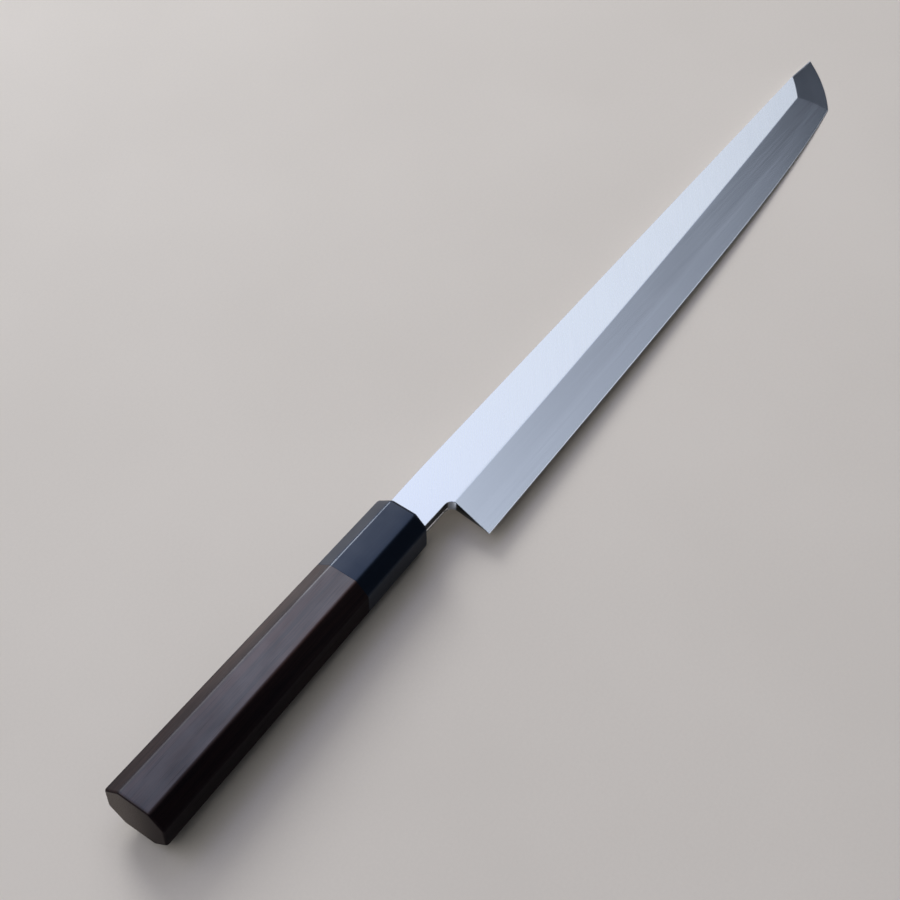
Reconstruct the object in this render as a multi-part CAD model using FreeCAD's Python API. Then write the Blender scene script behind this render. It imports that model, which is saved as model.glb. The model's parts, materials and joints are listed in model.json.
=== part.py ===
"""Single-bevel slicing knife with an angled sword-style tip and an octagonal wooden handle.

Every length is in millimetres. The knife is first built in its own frame: X runs along the handle's axis from
the butt to the point, with zero at the ferrule's mouth, +Y points to the spine and +Z out of the blade's front
face. It is then laid down as it rests on a table: on the ferrule's lower front corner and on the blade's tip.
"""

import FreeCAD
import Part
import math
import os
from FreeCAD import Placement, Rotation, Vector

# Handle, outside
handle_length = 143.4
ferrule_length = 35.4
mouth_height = 21.6
mouth_thickness = 19.6
butt_height = 25.4
butt_thickness = 21.0
mouth_bevel_height = 5.2
mouth_bevel_thickness = 4.9
butt_bevel_share = 1.12
mouth_chamfer = 1.3
butt_chamfer = 1.0
arris_radius = 0.6

# Core dowel in its bores
core_diameter = 13.0
core_end_wall = 10.0
mouth_wall = 4.0
glue_line = 0.1

# Tang
tang_length = 92.0
tang_root_height = 9.0
tang_root_thickness = 4.2
tang_end_height = 5.0
tang_end_thickness = 2.4

# Resin seal round the tang
seal_bed = 0.6
seal_wall = 0.7

# Blade outline, measured from the spine and from the mouth or the point
blade_length = 300.6
spine_droop_degrees = 0.74
neck_height = 16.7
blade_height = 35.5
heel_distance = 16.2
heel_lean = 1.3
notch_radius = 3.0
tip_setback = 22.6
tip_depth = 22.0
tip_bow = 1.6

# Blade faces
root_thickness = 5.0
point_thickness = 2.2
ridge_depth = 18.95
ridge_end_depth = 8.5
ridge_end_setback = 26.0
ridge_bow = 1.25
tip_flat_setback = 15.7

# Handles of the cutting edge's curve, as shares of its length and of its rise
edge_first_shares = (0.60, 0.33)
edge_second_shares = (0.835, 0.46)

# Hard-steel layer and the hollow in its back
steel_share = 0.32
steel_start = 7.0
hollow_depth = 0.35
hollow_rim = 2.4
hollow_heel_margin = 8.0
hollow_tip_margin = 40.0
hollow_station_shares = (0.0, 0.12, 0.5, 0.88, 1.0)
hollow_depth_shares = (0.15, 1.0, 1.0, 0.8, 0.15)

# How far cutting tools run past what they cut
overrun = 5.0

half = 0.5
core_length = tang_length + core_end_wall - mouth_wall
spine_y = neck_height * half
back_z = -root_thickness * half
length_axis = Vector(1, 0, 0)
side_axis = Vector(0, 1, 0)
up_axis = Vector(0, 0, 1)


def solid_from(faces):
    """Closes faces that share their edges into one outward-facing solid."""
    solid = Part.Solid(Part.Shell(faces))
    if solid.Volume < 0:
        solid.reverse()
    return solid


def flat_face(*edges):
    """A plane face inside a closed ring of edges, given in order."""
    return Part.Face(Part.Wire(edges))


def polygon_face(points):
    """A plane face with straight sides."""
    return Part.Face(Part.makePolygon(points + points[:1]))


def line(start, end):
    """A straight edge."""
    return Part.makeLine(start, end)


def block(low, high):
    """A box between two opposite corners."""
    size = high - low
    return Part.makeBox(size.x, size.y, size.z, low)


def between(start, end, share):
    """The value a given share of the way from start to end."""
    return start + (end - start) * share


def handle_ring(x, inset):
    """The octagon round the handle at x, moved in by an inset on all eight sides."""
    share = -x / handle_length
    half_height = between(mouth_height, butt_height, share) * half - inset
    half_thickness = between(mouth_thickness, butt_thickness, share) * half - inset
    growth = between(1, butt_bevel_share, share)
    leg_y = mouth_bevel_height * growth
    leg_z = mouth_bevel_thickness * growth
    narrowing = inset * (leg_y + leg_z - math.hypot(leg_y, leg_z))
    cut_y = half_height - leg_y + narrowing / leg_z
    cut_z = half_thickness - leg_z + narrowing / leg_y
    quarter = [(cut_y, half_thickness), (half_height, cut_z)]
    upper = quarter + [(y, -z) for y, z in reversed(quarter)]
    ring = upper + [(-y, -z) for y, z in upper]
    return [Vector(x, y, z) for y, z in ring]


def handle_blank():
    """The whole outside of the handle, ferrule included, with eased edges."""
    rings = [
        handle_ring(-handle_length, butt_chamfer),
        handle_ring(-handle_length + butt_chamfer, 0),
        handle_ring(-mouth_chamfer, 0),
        handle_ring(0, mouth_chamfer),
    ]
    faces = [polygon_face(rings[0]), polygon_face(rings[-1])]
    for rear, front in zip(rings, rings[1:]):
        for i in range(len(rear)):
            faces.append(polygon_face([rear[i - 1], rear[i], front[i], front[i - 1]]))
    blank = solid_from(faces)
    return blank.makeFillet(arris_radius, blank.Edges).Solids[0]


def core_bore():
    """The round hole for the core dowel, through the ferrule's back and into the handle."""
    return Part.makeCylinder(
        core_diameter * half + glue_line,
        core_length + glue_line,
        Vector(-mouth_wall, 0, 0),
        -length_axis,
    )


def tang_section(x, height, thickness):
    """The tang's cross-section at x."""
    corners = [(half, half), (-half, half), (-half, -half), (half, -half)]
    ring = [Vector(x, y * height, z * thickness) for y, z in corners]
    return Part.makePolygon(ring + ring[:1])


def tang():
    """The tapered tang, from inside the neck to its end in the core."""
    growth = 1 + seal_bed / tang_length
    sections = [
        tang_section(-tang_length, tang_end_height, tang_end_thickness),
        tang_section(
            seal_bed,
            between(tang_end_height, tang_root_height, growth),
            between(tang_end_thickness, tang_root_thickness, growth),
        ),
    ]
    return Part.makeLoft(sections, True, True)


def mouth_slot():
    """The slot through the ferrule's front wall, wide enough for the tang and its seal."""
    reach_y = tang_root_height * half + seal_wall
    reach_z = tang_root_thickness * half + seal_wall
    return block(Vector(-mouth_wall, -reach_y, -reach_z), Vector(0, reach_y, reach_z))


def front_face_z(x):
    """Height of the blade's flat front face at x, which falls steadily to the point."""
    return back_z + between(root_thickness, point_thickness, x / blade_length)


def edge_curve():
    """The cutting edge on the back plane, carried back from the tip's corner to the mouth."""
    start = Vector(0, spine_y - blade_height, back_z)
    end = Vector(blade_length - tip_setback, spine_y - tip_depth, back_z)
    poles = [start]
    for along, rise in (edge_first_shares, edge_second_shares):
        poles.append(Vector(between(start.x, end.x, along), between(start.y, end.y, rise), back_z))
    poles.append(end)
    curve = Part.BezierCurve()
    curve.setPoles(poles)
    return curve


def bowed_edge(start, end, bow, normal):
    """An arc in the plane of a normal, which swells by the bow to the right of its chord."""
    outward = (end - start).cross(normal).normalize()
    return Part.Arc(start, (start + end) * half + outward * bow, end).toShape()


def tip_edge_curve():
    """The tip's cutting edge on the back plane, from the point to the corner where the long edge starts."""
    point = Vector(blade_length, spine_y, back_z)
    corner = Vector(blade_length - tip_setback, spine_y - tip_depth, back_z)
    return bowed_edge(point, corner, -tip_bow, up_axis)


def ground_bar():
    """The blade before its neck is cut: flat back and front, long bevel and tip bevel."""
    edge = edge_curve().toShape()
    tip_edge = tip_edge_curve()
    root_back = Vector(0, spine_y, back_z)
    root_front = Vector(0, spine_y, front_face_z(0))
    root_ridge = Vector(0, spine_y - ridge_depth, front_face_z(0))
    root_edge = edge.Vertexes[0].Point
    point = tip_edge.Vertexes[0].Point
    spine_end_x = blade_length - tip_flat_setback
    spine_end = Vector(spine_end_x, spine_y, front_face_z(spine_end_x))
    ridge_end_x = blade_length - ridge_end_setback
    ridge_end = Vector(ridge_end_x, spine_y - ridge_end_depth, front_face_z(ridge_end_x))

    front_normal = Vector(root_thickness - point_thickness, 0, blade_length)
    ridge = bowed_edge(root_ridge, ridge_end, ridge_bow, front_normal)
    tip_ridge = line(spine_end, ridge_end)
    root_top = line(root_front, root_ridge)
    spine_bottom = line(root_back, point)
    root_bottom = line(root_edge, root_back)
    back = flat_face(spine_bottom, tip_edge, edge, root_bottom)
    front = flat_face(line(root_front, spine_end), tip_ridge, ridge, root_top)
    spine = polygon_face([root_back, point, spine_end, root_front])
    root = polygon_face([root_back, root_front, root_ridge, root_edge])
    bevel = Part.makeRuledSurface(ridge, edge)
    tip_bevel = Part.makeRuledSurface(tip_ridge, tip_edge)
    return solid_from([back, front, spine, root, bevel, tip_bevel])


def notch_cutter():
    """What is cut away below the neck, up to the heel's rear edge, with a rounded inner corner."""
    neck_y = -neck_height * half
    below = spine_y - blade_height - overrun
    run = heel_lean * (neck_y - below) / (blade_height - neck_height)
    profile = [
        Vector(-overrun, neck_y, back_z - overrun),
        Vector(heel_distance, neck_y, back_z - overrun),
        Vector(heel_distance - run, below, back_z - overrun),
        Vector(-overrun, below, back_z - overrun),
    ]
    cutter = polygon_face(profile).extrude(up_axis * (root_thickness + overrun + overrun))
    inner_edge = max(cutter.Edges, key=lambda edge: edge.BoundBox.XMin + edge.BoundBox.YMin)
    return cutter.makeFillet(notch_radius, [inner_edge])


def steel_layer():
    """The space behind the forge-weld plane, which the hard steel fills from the neck to the point."""
    end_x = blade_length + overrun
    low_y = spine_y - blade_height - overrun
    start_z = between(back_z, front_face_z(steel_start), steel_share)
    end_z = between(back_z, front_face_z(end_x), steel_share)
    profile = [
        Vector(steel_start, low_y, back_z - overrun),
        Vector(end_x, low_y, back_z - overrun),
        Vector(end_x, low_y, end_z),
        Vector(steel_start, low_y, start_z),
    ]
    return polygon_face(profile).extrude(side_axis * (blade_height + overrun + overrun))


def hollow_cutter():
    """The shallow hollow ground into the back, inside a flat rim along the spine and the edge."""
    edge = edge_curve()
    start_x = heel_distance + hollow_heel_margin
    end_x = blade_length - hollow_tip_margin
    sections = []
    for along, depth_share in zip(hollow_station_shares, hollow_depth_shares):
        x = between(start_x, end_x, along)
        edge_y = edge.intersect(Part.Line(Vector(x, 0, back_z), Vector(x, spine_y, back_z)))[0].Y
        low = Vector(x, edge_y + hollow_rim, back_z)
        high = Vector(x, spine_y - hollow_rim, back_z)
        top = (low + high) * half + up_axis * (hollow_depth * depth_share)
        sections.append(Part.Wire([Part.Arc(low, top, high).toShape(), line(high, low)]))
    return Part.makeLoft(sections, True, True)


def blade_layers():
    """The blade's soft-iron body with its tang, and its hard-steel back."""
    blade = ground_bar().cut(notch_cutter())
    layer = steel_layer()
    steel = blade.common(layer).cut(hollow_cutter())
    iron = blade.cut(layer)
    for shape in (steel, iron):
        shape.rotate(Vector(0, 0, 0), up_axis, -spine_droop_degrees)
    reach = blade_height + blade_length
    behind_shoulder = block(Vector(-reach, -reach, -reach), Vector(seal_bed, reach, reach))
    iron = iron.cut(behind_shoulder).fuse(tang()).removeSplitter()
    return iron.Solids[0], steel.Solids[0]


def horn_ferrule(blank):
    """The octagonal ferrule, bored from behind for the core and slotted in front for the tang."""
    reach = handle_length
    behind = block(Vector(-reach - overrun, -reach, -reach), Vector(-ferrule_length, reach, reach))
    return blank.cut([behind, core_bore(), mouth_slot()]).Solids[0]


def handle_body(blank):
    """The wooden handle behind the ferrule, bored for the core."""
    reach = handle_length
    ahead = block(Vector(-ferrule_length, -reach, -reach), Vector(overrun, reach, reach))
    return blank.cut([ahead, core_bore()]).Solids[0]


def core_dowel():
    """The light-wood dowel that joins ferrule and handle, with the tang burnt into it."""
    dowel = Part.makeCylinder(core_diameter * half, core_length, Vector(-mouth_wall, 0, 0), -length_axis)
    return dowel.cut(tang()).Solids[0]


def mouth_seal():
    """The seal that fills the mouth's slot round the tang and beds the neck's shoulders."""
    reach_y = neck_height * half - seal_wall
    reach_z = root_thickness * half
    bed = block(Vector(0, -reach_y, -reach_z), Vector(seal_bed, reach_y, reach_z))
    return bed.fuse(mouth_slot()).cut(tang()).removeSplitter().Solids[0]


def rest_placement(shapes):
    """Lays the knife on the ferrule's lower edge-side corner, the point and the middle of the tip's edge."""
    rim_corner = min(handle_ring(-mouth_chamfer, 0), key=lambda corner: (corner.z, corner.y))
    tip_edge = tip_edge_curve()
    tip_edge.rotate(Vector(0, 0, 0), up_axis, -spine_droop_degrees)
    point = tip_edge.Vertexes[0].Point
    middle = tip_edge.valueAt(between(tip_edge.FirstParameter, tip_edge.LastParameter, half))
    table_normal = (middle - rim_corner).cross(point - rim_corner)
    turn = Rotation(table_normal, up_axis)
    lying = Part.makeCompound(shapes).copy()
    lying.Placement = Placement(Vector(0, 0, 0), turn)
    box = lying.optimalBoundingBox(False)
    return Placement(Vector(-box.Center.x, -box.Center.y, -box.ZMin), turn)


def main():
    """Builds every piece, lays the knife down and writes one file per piece."""
    blank = handle_blank()
    iron, steel = blade_layers()
    pieces = {
        "blade_body": iron,
        "blade_edge_steel": steel,
        "horn_ferrule": horn_ferrule(blank),
        "handle_body": handle_body(blank),
        "core_dowel": core_dowel(),
        "mouth_seal": mouth_seal(),
    }
    placement = rest_placement(list(pieces.values()))
    os.makedirs("parts", exist_ok=True)
    for name, shape in pieces.items():
        shape.Placement = placement.multiply(shape.Placement)
        shape.exportStep(os.path.join("parts", name + ".step"))
        print(name, "volume", round(shape.Volume, 1), "valid", shape.isValid())


main()
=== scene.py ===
"""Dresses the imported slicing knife: a ground blade, a horn ferrule and an octagonal wooden handle.

Sizes are in millimetres in the knife's own axes. X runs along the handle from the ferrule's mouth to the
point, +Y to the spine and +Z out of the blade's front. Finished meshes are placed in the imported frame.
"""

import json
import logging
import math
from dataclasses import asdict, dataclass
from enum import Enum
from typing import Any, Sequence

import bmesh
import bpy
import numpy as np
from mathutils import Matrix, Vector

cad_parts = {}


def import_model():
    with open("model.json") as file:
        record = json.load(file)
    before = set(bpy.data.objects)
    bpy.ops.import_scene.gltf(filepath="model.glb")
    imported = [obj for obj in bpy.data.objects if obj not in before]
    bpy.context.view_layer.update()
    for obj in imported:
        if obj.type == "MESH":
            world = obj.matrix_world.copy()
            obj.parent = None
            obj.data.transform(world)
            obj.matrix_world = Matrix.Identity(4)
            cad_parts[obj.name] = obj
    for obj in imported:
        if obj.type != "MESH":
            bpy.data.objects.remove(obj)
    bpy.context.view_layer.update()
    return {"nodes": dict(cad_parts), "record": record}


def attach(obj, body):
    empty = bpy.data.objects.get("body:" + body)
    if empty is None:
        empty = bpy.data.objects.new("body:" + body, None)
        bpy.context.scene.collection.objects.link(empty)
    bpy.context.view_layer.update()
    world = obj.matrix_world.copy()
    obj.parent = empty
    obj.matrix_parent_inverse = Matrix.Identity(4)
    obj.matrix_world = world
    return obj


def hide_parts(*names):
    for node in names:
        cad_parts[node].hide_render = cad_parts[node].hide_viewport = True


log = logging.getLogger("knife")

MILLIMETRE = 0.001
HALF = 0.5
BODY = "root"
GAP_NAME = "arris_gap"
BEVEL_NAME = "bevel_share"
HOLLOW_NAME = "hollow_share"

Triple = tuple[float, float, float]
Colour = Triple
Span = tuple[float, float]


class CadNode(Enum):
    """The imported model's nodes."""

    BLADE_BODY = "blade_body"
    EDGE_STEEL = "blade_edge_steel"
    FERRULE = "horn_ferrule"
    HANDLE = "handle_body"
    CORE = "core_dowel"
    SEAL = "mouth_seal"


class Slot(Enum):
    """The record's material slots that the new pieces take."""

    SOFT_IRON = "soft_iron"
    EDGE_STEEL = "edge_steel"
    HORN = "horn"
    DARK_WOOD = "dark_wood"


class BladeFace(Enum):
    """Which finish a face of the blade takes, in the order of its material slots."""

    FLAT = 0
    BEVEL = 1
    WALL = 2
    BACK = 3
    SPINE = 4


@dataclass(frozen=True)
class KnifeFrame:
    """Where the knife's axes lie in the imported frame.

    Attributes:
        handle: From the handle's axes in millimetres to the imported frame.
        blade: From the blade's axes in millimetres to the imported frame.
    """

    handle: Matrix
    blade: Matrix

    @classmethod
    def from_record(cls, record: dict[str, Any], handle_length: float) -> "KnifeFrame":
        """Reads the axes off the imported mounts.

        Args:
            record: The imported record.
            handle_length: From the butt to the ferrule's mouth, in millimetres.

        Returns:
            The knife's frame.
        """
        mounts = {mount["name"]: mount for mount in record["mounts"]}
        along = -Vector(mounts["butt_end"]["axis"]).normalized()
        out = -Vector(mounts["blade_back"]["axis"]).normalized()
        blade_along = Vector(mounts["sheath_slide"]["axis"]).normalized()
        mouth = Vector(mounts["butt_end"]["pos_m"]) + along * handle_length * MILLIMETRE
        return cls(cls.axes(along, out, mouth), cls.axes(blade_along, out, mouth))

    @staticmethod
    def axes(along: Vector, out: Vector, origin: Vector) -> Matrix:
        """The matrix of one set of axes, with millimetres turned into metres.

        Args:
            along: The X axis.
            out: The Z axis, made square to the X axis.
            origin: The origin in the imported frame, in metres.

        Returns:
            The matrix.
        """
        side = out.cross(along).normalized()
        up = along.cross(side)
        turn = Matrix((along, side, up)).transposed().to_4x4()
        return Matrix.Translation(origin) @ turn @ Matrix.Scale(MILLIMETRE, 4)

    @staticmethod
    def directions(axes: Matrix) -> tuple[Vector, ...]:
        """The X, Y and Z directions of a set of axes."""
        return tuple(column.normalized() for column in axes.to_3x3().col)

    @property
    def droop(self) -> float:
        """The angle from the handle's axis to the blade's."""
        return self.directions(self.handle)[0].angle(self.directions(self.blade)[0])


def linked(name: str, data: bpy.types.ID) -> bpy.types.Object:
    """A new object in the scene.

    Args:
        name: Its name.
        data: Its mesh, lamp or camera.

    Returns:
        The object.
    """
    made = bpy.data.objects.new(name, data)
    bpy.context.scene.collection.objects.link(made)
    return made


class Field:
    """A value that varies over a surface: a node tree's socket, with arithmetic that adds Math nodes."""

    def __init__(self, graph: "Graph", socket: bpy.types.NodeSocket) -> None:
        """Wraps a socket of a graph."""
        self.graph = graph
        self.socket = socket

    def __add__(self, other: Any) -> "Field":
        """The sum."""
        return self.graph.math("ADD", self, other)

    def __sub__(self, other: Any) -> "Field":
        """The difference."""
        return self.graph.math("SUBTRACT", self, other)

    def __rsub__(self, other: Any) -> "Field":
        """The difference."""
        return self.graph.math("SUBTRACT", other, self)

    def __mul__(self, other: Any) -> "Field":
        """The product."""
        return self.graph.math("MULTIPLY", self, other)

    def __truediv__(self, other: Any) -> "Field":
        """The quotient."""
        return self.graph.math("DIVIDE", self, other)

    def __pow__(self, other: Any) -> "Field":
        """The power."""
        return self.graph.math("POWER", self, other)

    def __abs__(self) -> "Field":
        """The size without its sign."""
        return self.graph.math("ABSOLUTE", self)

    __radd__ = __add__
    __rmul__ = __mul__

    def ramp(self, low: Any, high: Any, start: Any = 0.0, end: Any = 1.0) -> "Field":
        """A soft step.

        Args:
            low: Where the step starts.
            high: Where it ends.
            start: The value before the step.
            end: The value after it.

        Returns:
            The stepped value.
        """
        inputs = {"Value": self, "From Min": low, "From Max": high, "To Min": start, "To Max": end}
        return self.graph.field("ShaderNodeMapRange", "Result", inputs, interpolation_type="SMOOTHSTEP")


@dataclass(frozen=True)
class Noise:
    """A soft noise: its waves, its finer layers, how strong these are, and factors along each axis."""

    waves: float = 1.0
    detail: float = 2.0
    roughness: float = 0.5
    stretch: Triple = (1.0, 1.0, 1.0)


class Graph:
    """A node tree with short calls that add and join nodes."""

    def __init__(self, tree: bpy.types.NodeTree) -> None:
        """Wraps a tree."""
        self.tree = tree

    def feed(self, socket: bpy.types.NodeSocket, value: Any) -> None:
        """Joins a field to an input, or sets the input's own value.

        Args:
            socket: The input.
            value: A field, a socket or a plain value.
        """
        if isinstance(value, Field):
            value = value.socket
        if isinstance(value, bpy.types.NodeSocket):
            self.tree.links.new(value, socket)
        else:
            socket.default_value = value

    def node(self, kind: str, inputs: dict[Any, Any] | None = None, **settings: Any) -> bpy.types.Node:
        """Adds a node.

        Args:
            kind: The node's type.
            inputs: Values or fields by input name or number.
            **settings: Properties of the node, set before its inputs.

        Returns:
            The node.
        """
        made = self.tree.nodes.new(kind)
        for name, value in settings.items():
            setattr(made, name, value)
        for name, value in (inputs or {}).items():
            self.feed(made.inputs[name], value)
        return made

    def field(self, kind: str, output: Any, inputs: dict[Any, Any] | None = None, **settings: Any) -> Field:
        """Adds a node and returns one output of it, by name or number."""
        return Field(self, self.node(kind, inputs, **settings).outputs[output])

    def math(self, operation: str, *values: Any) -> Field:
        """The result of a Math node."""
        return self.field("ShaderNodeMath", 0, dict(enumerate(values)), operation=operation)

    def least(self, *values: Any) -> Field:
        """The smaller of two values."""
        return self.math("MINIMUM", *values)

    def most(self, *values: Any) -> Field:
        """The larger of two values."""
        return self.math("MAXIMUM", *values)

    def vector(self, x: Any, y: Any, z: Any) -> Field:
        """A vector of three values."""
        return self.field("ShaderNodeCombineXYZ", "Vector", {"X": x, "Y": y, "Z": z})

    def parts(self, vector: Any) -> tuple[Field, Field, Field]:
        """The three values of a vector."""
        made = self.node("ShaderNodeSeparateXYZ", {"Vector": vector})
        return tuple(Field(self, made.outputs[axis]) for axis in "XYZ")

    def combine(self, operation: str, *vectors: Any, output: str = "Vector") -> Field:
        """The result of a Vector Math node."""
        return self.field("ShaderNodeVectorMath", output, dict(enumerate(vectors)), operation=operation)

    def times(self, vector: Any, factors: Any) -> Field:
        """A vector stretched along its axes."""
        return self.combine("MULTIPLY", vector, factors)

    def facing(self, vector: Any, towards: Any) -> Field:
        """How far a vector points along a direction."""
        return self.combine("DOT_PRODUCT", vector, towards, output="Value")

    def noise(self, vector: Any, noise: Noise, waves: Any = None) -> Field:
        """A soft noise.

        Args:
            vector: Where it is read.
            noise: What it is like.
            waves: Its waves per unit, if a field sets them.

        Returns:
            A value around one half.
        """
        inputs = {
            "Vector": self.times(vector, noise.stretch),
            "Scale": noise.waves if waves is None else waves,
            "Detail": noise.detail,
            "Roughness": noise.roughness,
        }
        return self.field("ShaderNodeTexNoise", "Fac", inputs)

    def swing(self, vector: Any, noise: Noise, waves: Any = None) -> Field:
        """A soft noise around zero, from -1 to 1."""
        return self.noise(vector, noise, waves) * 2.0 - 1.0

    def blend(self, share: Any, first: Any, second: Any, how: str = "MIX") -> Field:
        """A mix of two colours.

        Args:
            share: How much of the second there is.
            first: The colour at 0.
            second: The colour at 1.
            how: The way of mixing.

        Returns:
            The colour.
        """
        made = self.node("ShaderNodeMix", data_type="RGBA", blend_type=how)
        self.feed(made.inputs["Factor"], share)
        colour_inputs = [socket for socket in made.inputs if socket.type == "RGBA"]
        for socket, value in zip(colour_inputs, (first, second)):
            self.feed(socket, (*value, 1.0) if isinstance(value, tuple) else value)
        colour_output = next(socket for socket in made.outputs if socket.type == "RGBA")
        return Field(self, colour_output)

    def shaded(self, colour: Field, shade: Field) -> Field:
        """A colour darkened by a factor."""
        return self.blend(1.0, colour, self.vector(shade, shade, shade), "MULTIPLY")


class ShaderGroup:
    """A shader effect that several finishes share, built once as a node group."""

    name = "group"
    inputs: dict[str, tuple[str, Any]] = {}
    outputs: dict[str, str] = {}

    def __init__(self) -> None:
        """Builds the group's tree."""
        self.tree = bpy.data.node_groups.new(self.name, "ShaderNodeTree")
        for name, (kind, value) in self.inputs.items():
            socket = self.tree.interface.new_socket(name, in_out="INPUT", socket_type=kind)
            if value is not None:
                socket.default_value = value
        for name, kind in self.outputs.items():
            self.tree.interface.new_socket(name, in_out="OUTPUT", socket_type=kind)
        graph = Graph(self.tree)
        entry = graph.node("NodeGroupInput")
        made = self.effect(graph, {name: Field(graph, entry.outputs[name]) for name in self.inputs})
        graph.node("NodeGroupOutput", made)

    def effect(self, graph: Graph, given: dict[str, Field]) -> dict[str, Field]:
        """Adds the effect's nodes.

        Args:
            graph: The group's tree.
            given: The group's inputs by name.

        Returns:
            The group's outputs by name.
        """
        raise NotImplementedError

    def place(self, graph: Graph, **values: Any) -> dict[str, Field]:
        """Puts the group into a material.

        Args:
            graph: The material's tree.
            **values: Values or fields by input name.

        Returns:
            The outputs by name.
        """
        made = graph.node("ShaderNodeGroup", values, node_tree=self.tree)
        return {name: Field(graph, made.outputs[name]) for name in self.outputs}


class Hairlines(ShaderGroup):
    """Fine straight lines left by a grinding belt or a polishing stone."""

    name = "hairlines"
    inputs = {
        "Place": ("NodeSocketVector", None),
        "Turn": ("NodeSocketFloat", 0.0),
        "Across": ("NodeSocketFloat", 2.0),
        "Along": ("NodeSocketFloat", 0.03),
    }
    outputs = {"Lines": "NodeSocketFloat", "Fine": "NodeSocketFloat"}

    broad = Noise(waves=1.0, detail=3.0, roughness=0.62)
    fine = Noise(waves=3.7, detail=2.0, roughness=0.6)

    def effect(self, graph: Graph, given: dict[str, Field]) -> dict[str, Field]:
        """Stretches noise along the lines.

        Args:
            graph: The group's tree.
            given: The place in millimetres, the lines' turn, and waves per millimetre across and along.

        Returns:
            Broad and fine lines, both around one half.
        """
        inputs = {"Vector": given["Place"], "Angle": given["Turn"]}
        turned = graph.field("ShaderNodeVectorRotate", "Vector", inputs, rotation_type="Z_AXIS")
        drawn = graph.times(turned, graph.vector(given["Along"], given["Across"], given["Across"]))
        return {"Lines": graph.noise(drawn, self.broad), "Fine": graph.noise(drawn, self.fine)}


class EdgeWear(ShaderGroup):
    """A thin uneven band along a piece's edges, where handling has polished it."""

    name = "edge_wear"
    inputs = {
        "Place": ("NodeSocketVector", None),
        "Gap": ("NodeSocketFloat", 1.0),
        "Width": ("NodeSocketFloat", 0.5),
        "Ragged": ("NodeSocketFloat", 0.5),
    }
    outputs = {"Wear": "NodeSocketFloat"}

    swing = Noise(waves=0.55, detail=3.0)

    def effect(self, graph: Graph, given: dict[str, Field]) -> dict[str, Field]:
        """Fades out from the edge over an uneven width.

        Args:
            graph: The group's tree.
            given: The place and the gap to the nearest edge in millimetres, the band's width and unevenness.

        Returns:
            A mask that is 1 on the edge.
        """
        uneven = graph.swing(given["Place"], self.swing)
        width = given["Width"] * (1.0 + uneven * given["Ragged"])
        return {"Wear": given["Gap"].ramp(0.0, width, 1.0, 0.0)}


class SoftMottle(ShaderGroup):
    """A slow unevenness of tone, as on any hand-finished surface."""

    name = "soft_mottle"
    inputs = {
        "Place": ("NodeSocketVector", None),
        "Waves": ("NodeSocketFloat", 0.05),
        "Amount": ("NodeSocketFloat", 0.1),
    }
    outputs = {"Tone": "NodeSocketFloat"}

    swing = Noise(detail=3.0)

    def effect(self, graph: Graph, given: dict[str, Field]) -> dict[str, Field]:
        """Turns slow noise into a factor.

        Args:
            graph: The group's tree.
            given: The place in millimetres, waves per millimetre and the largest change.

        Returns:
            A factor around 1.
        """
        uneven = graph.swing(given["Place"], self.swing, given["Waves"])
        return {"Tone": 1.0 + uneven * given["Amount"]}


class WoodGrain(ShaderGroup):
    """Fibres along X with growth bands, fine dark pores and a few warm streaks."""

    name = "wood_grain"
    inputs = {
        "Place": ("NodeSocketVector", None),
        "Dark": ("NodeSocketColor", (0.0, 0.0, 0.0, 1.0)),
        "Light": ("NodeSocketColor", (1.0, 1.0, 1.0, 1.0)),
        "Streak": ("NodeSocketColor", (0.5, 0.2, 0.1, 1.0)),
        "Bands": ("NodeSocketFloat", 0.35),
        "Pores": ("NodeSocketFloat", 0.6),
    }
    outputs = {"Colour": "NodeSocketColor", "Height": "NodeSocketFloat", "Pore": "NodeSocketFloat"}

    fibres = Noise(waves=2.6, detail=3.0, roughness=0.65, stretch=(0.02, 1.0, 1.0))
    pores = Noise(waves=4.2, detail=1.0, stretch=(0.014, 1.0, 1.0))
    streaks = Noise(waves=0.42, stretch=(0.014, 1.0, 1.0))
    growth = Noise(roughness=0.55, stretch=(0.018, 1.0, 1.0))
    band_weight = 0.55
    fibre_weight = 0.75
    tone_span = (0.42, 0.88)
    pore_span = (0.60, 0.70)
    streak_span = (0.55, 0.75)
    streak_strength = 0.8

    def effect(self, graph: Graph, given: dict[str, Field]) -> dict[str, Field]:
        """Layers stretched noises.

        Args:
            graph: The group's tree.
            given: The place in millimetres, the three colours, bands per millimetre and the pores' strength.

        Returns:
            The colour, a height for bump and the pore mask.
        """
        place = given["Place"]
        band = graph.noise(place, self.growth, given["Bands"])
        fibre = graph.noise(place, self.fibres)
        pore = graph.noise(place, self.pores).ramp(*self.pore_span)
        streak = graph.noise(place, self.streaks).ramp(*self.streak_span)
        tone = (band * self.band_weight + fibre * self.fibre_weight).ramp(*self.tone_span)
        colour = graph.blend(tone, given["Dark"], given["Light"])
        colour = graph.blend(streak * self.streak_strength, colour, given["Streak"])
        colour = graph.blend(pore * given["Pores"], colour, given["Dark"])
        return {"Colour": colour, "Height": fibre * HALF - pore, "Pore": pore}


@dataclass(frozen=True)
class Strokes:
    """How hairlines run: their turn in degrees, and waves per millimetre across and along them."""

    turn: float
    across: float
    along: float


@dataclass(frozen=True)
class Cloud:
    """A slow unevenness: waves per millimetre, the largest change, and factors along each axis."""

    waves: float
    amount: float
    stretch: Triple = (1.0, 1.0, 1.0)


@dataclass(frozen=True)
class Band:
    """A worn band along a piece's edges: its width in millimetres, and how uneven that is."""

    width: float
    ragged: float


@dataclass(frozen=True)
class Relief:
    """A surface's roughness: how much of it shows, and its height in millimetres."""

    strength: float
    depth: float


@dataclass(frozen=True)
class Timber:
    """A wood's colours, its growth bands per millimetre and the strength of its pores."""

    dark: Colour
    light: Colour
    streak: Colour
    bands: float
    pores: float


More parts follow.
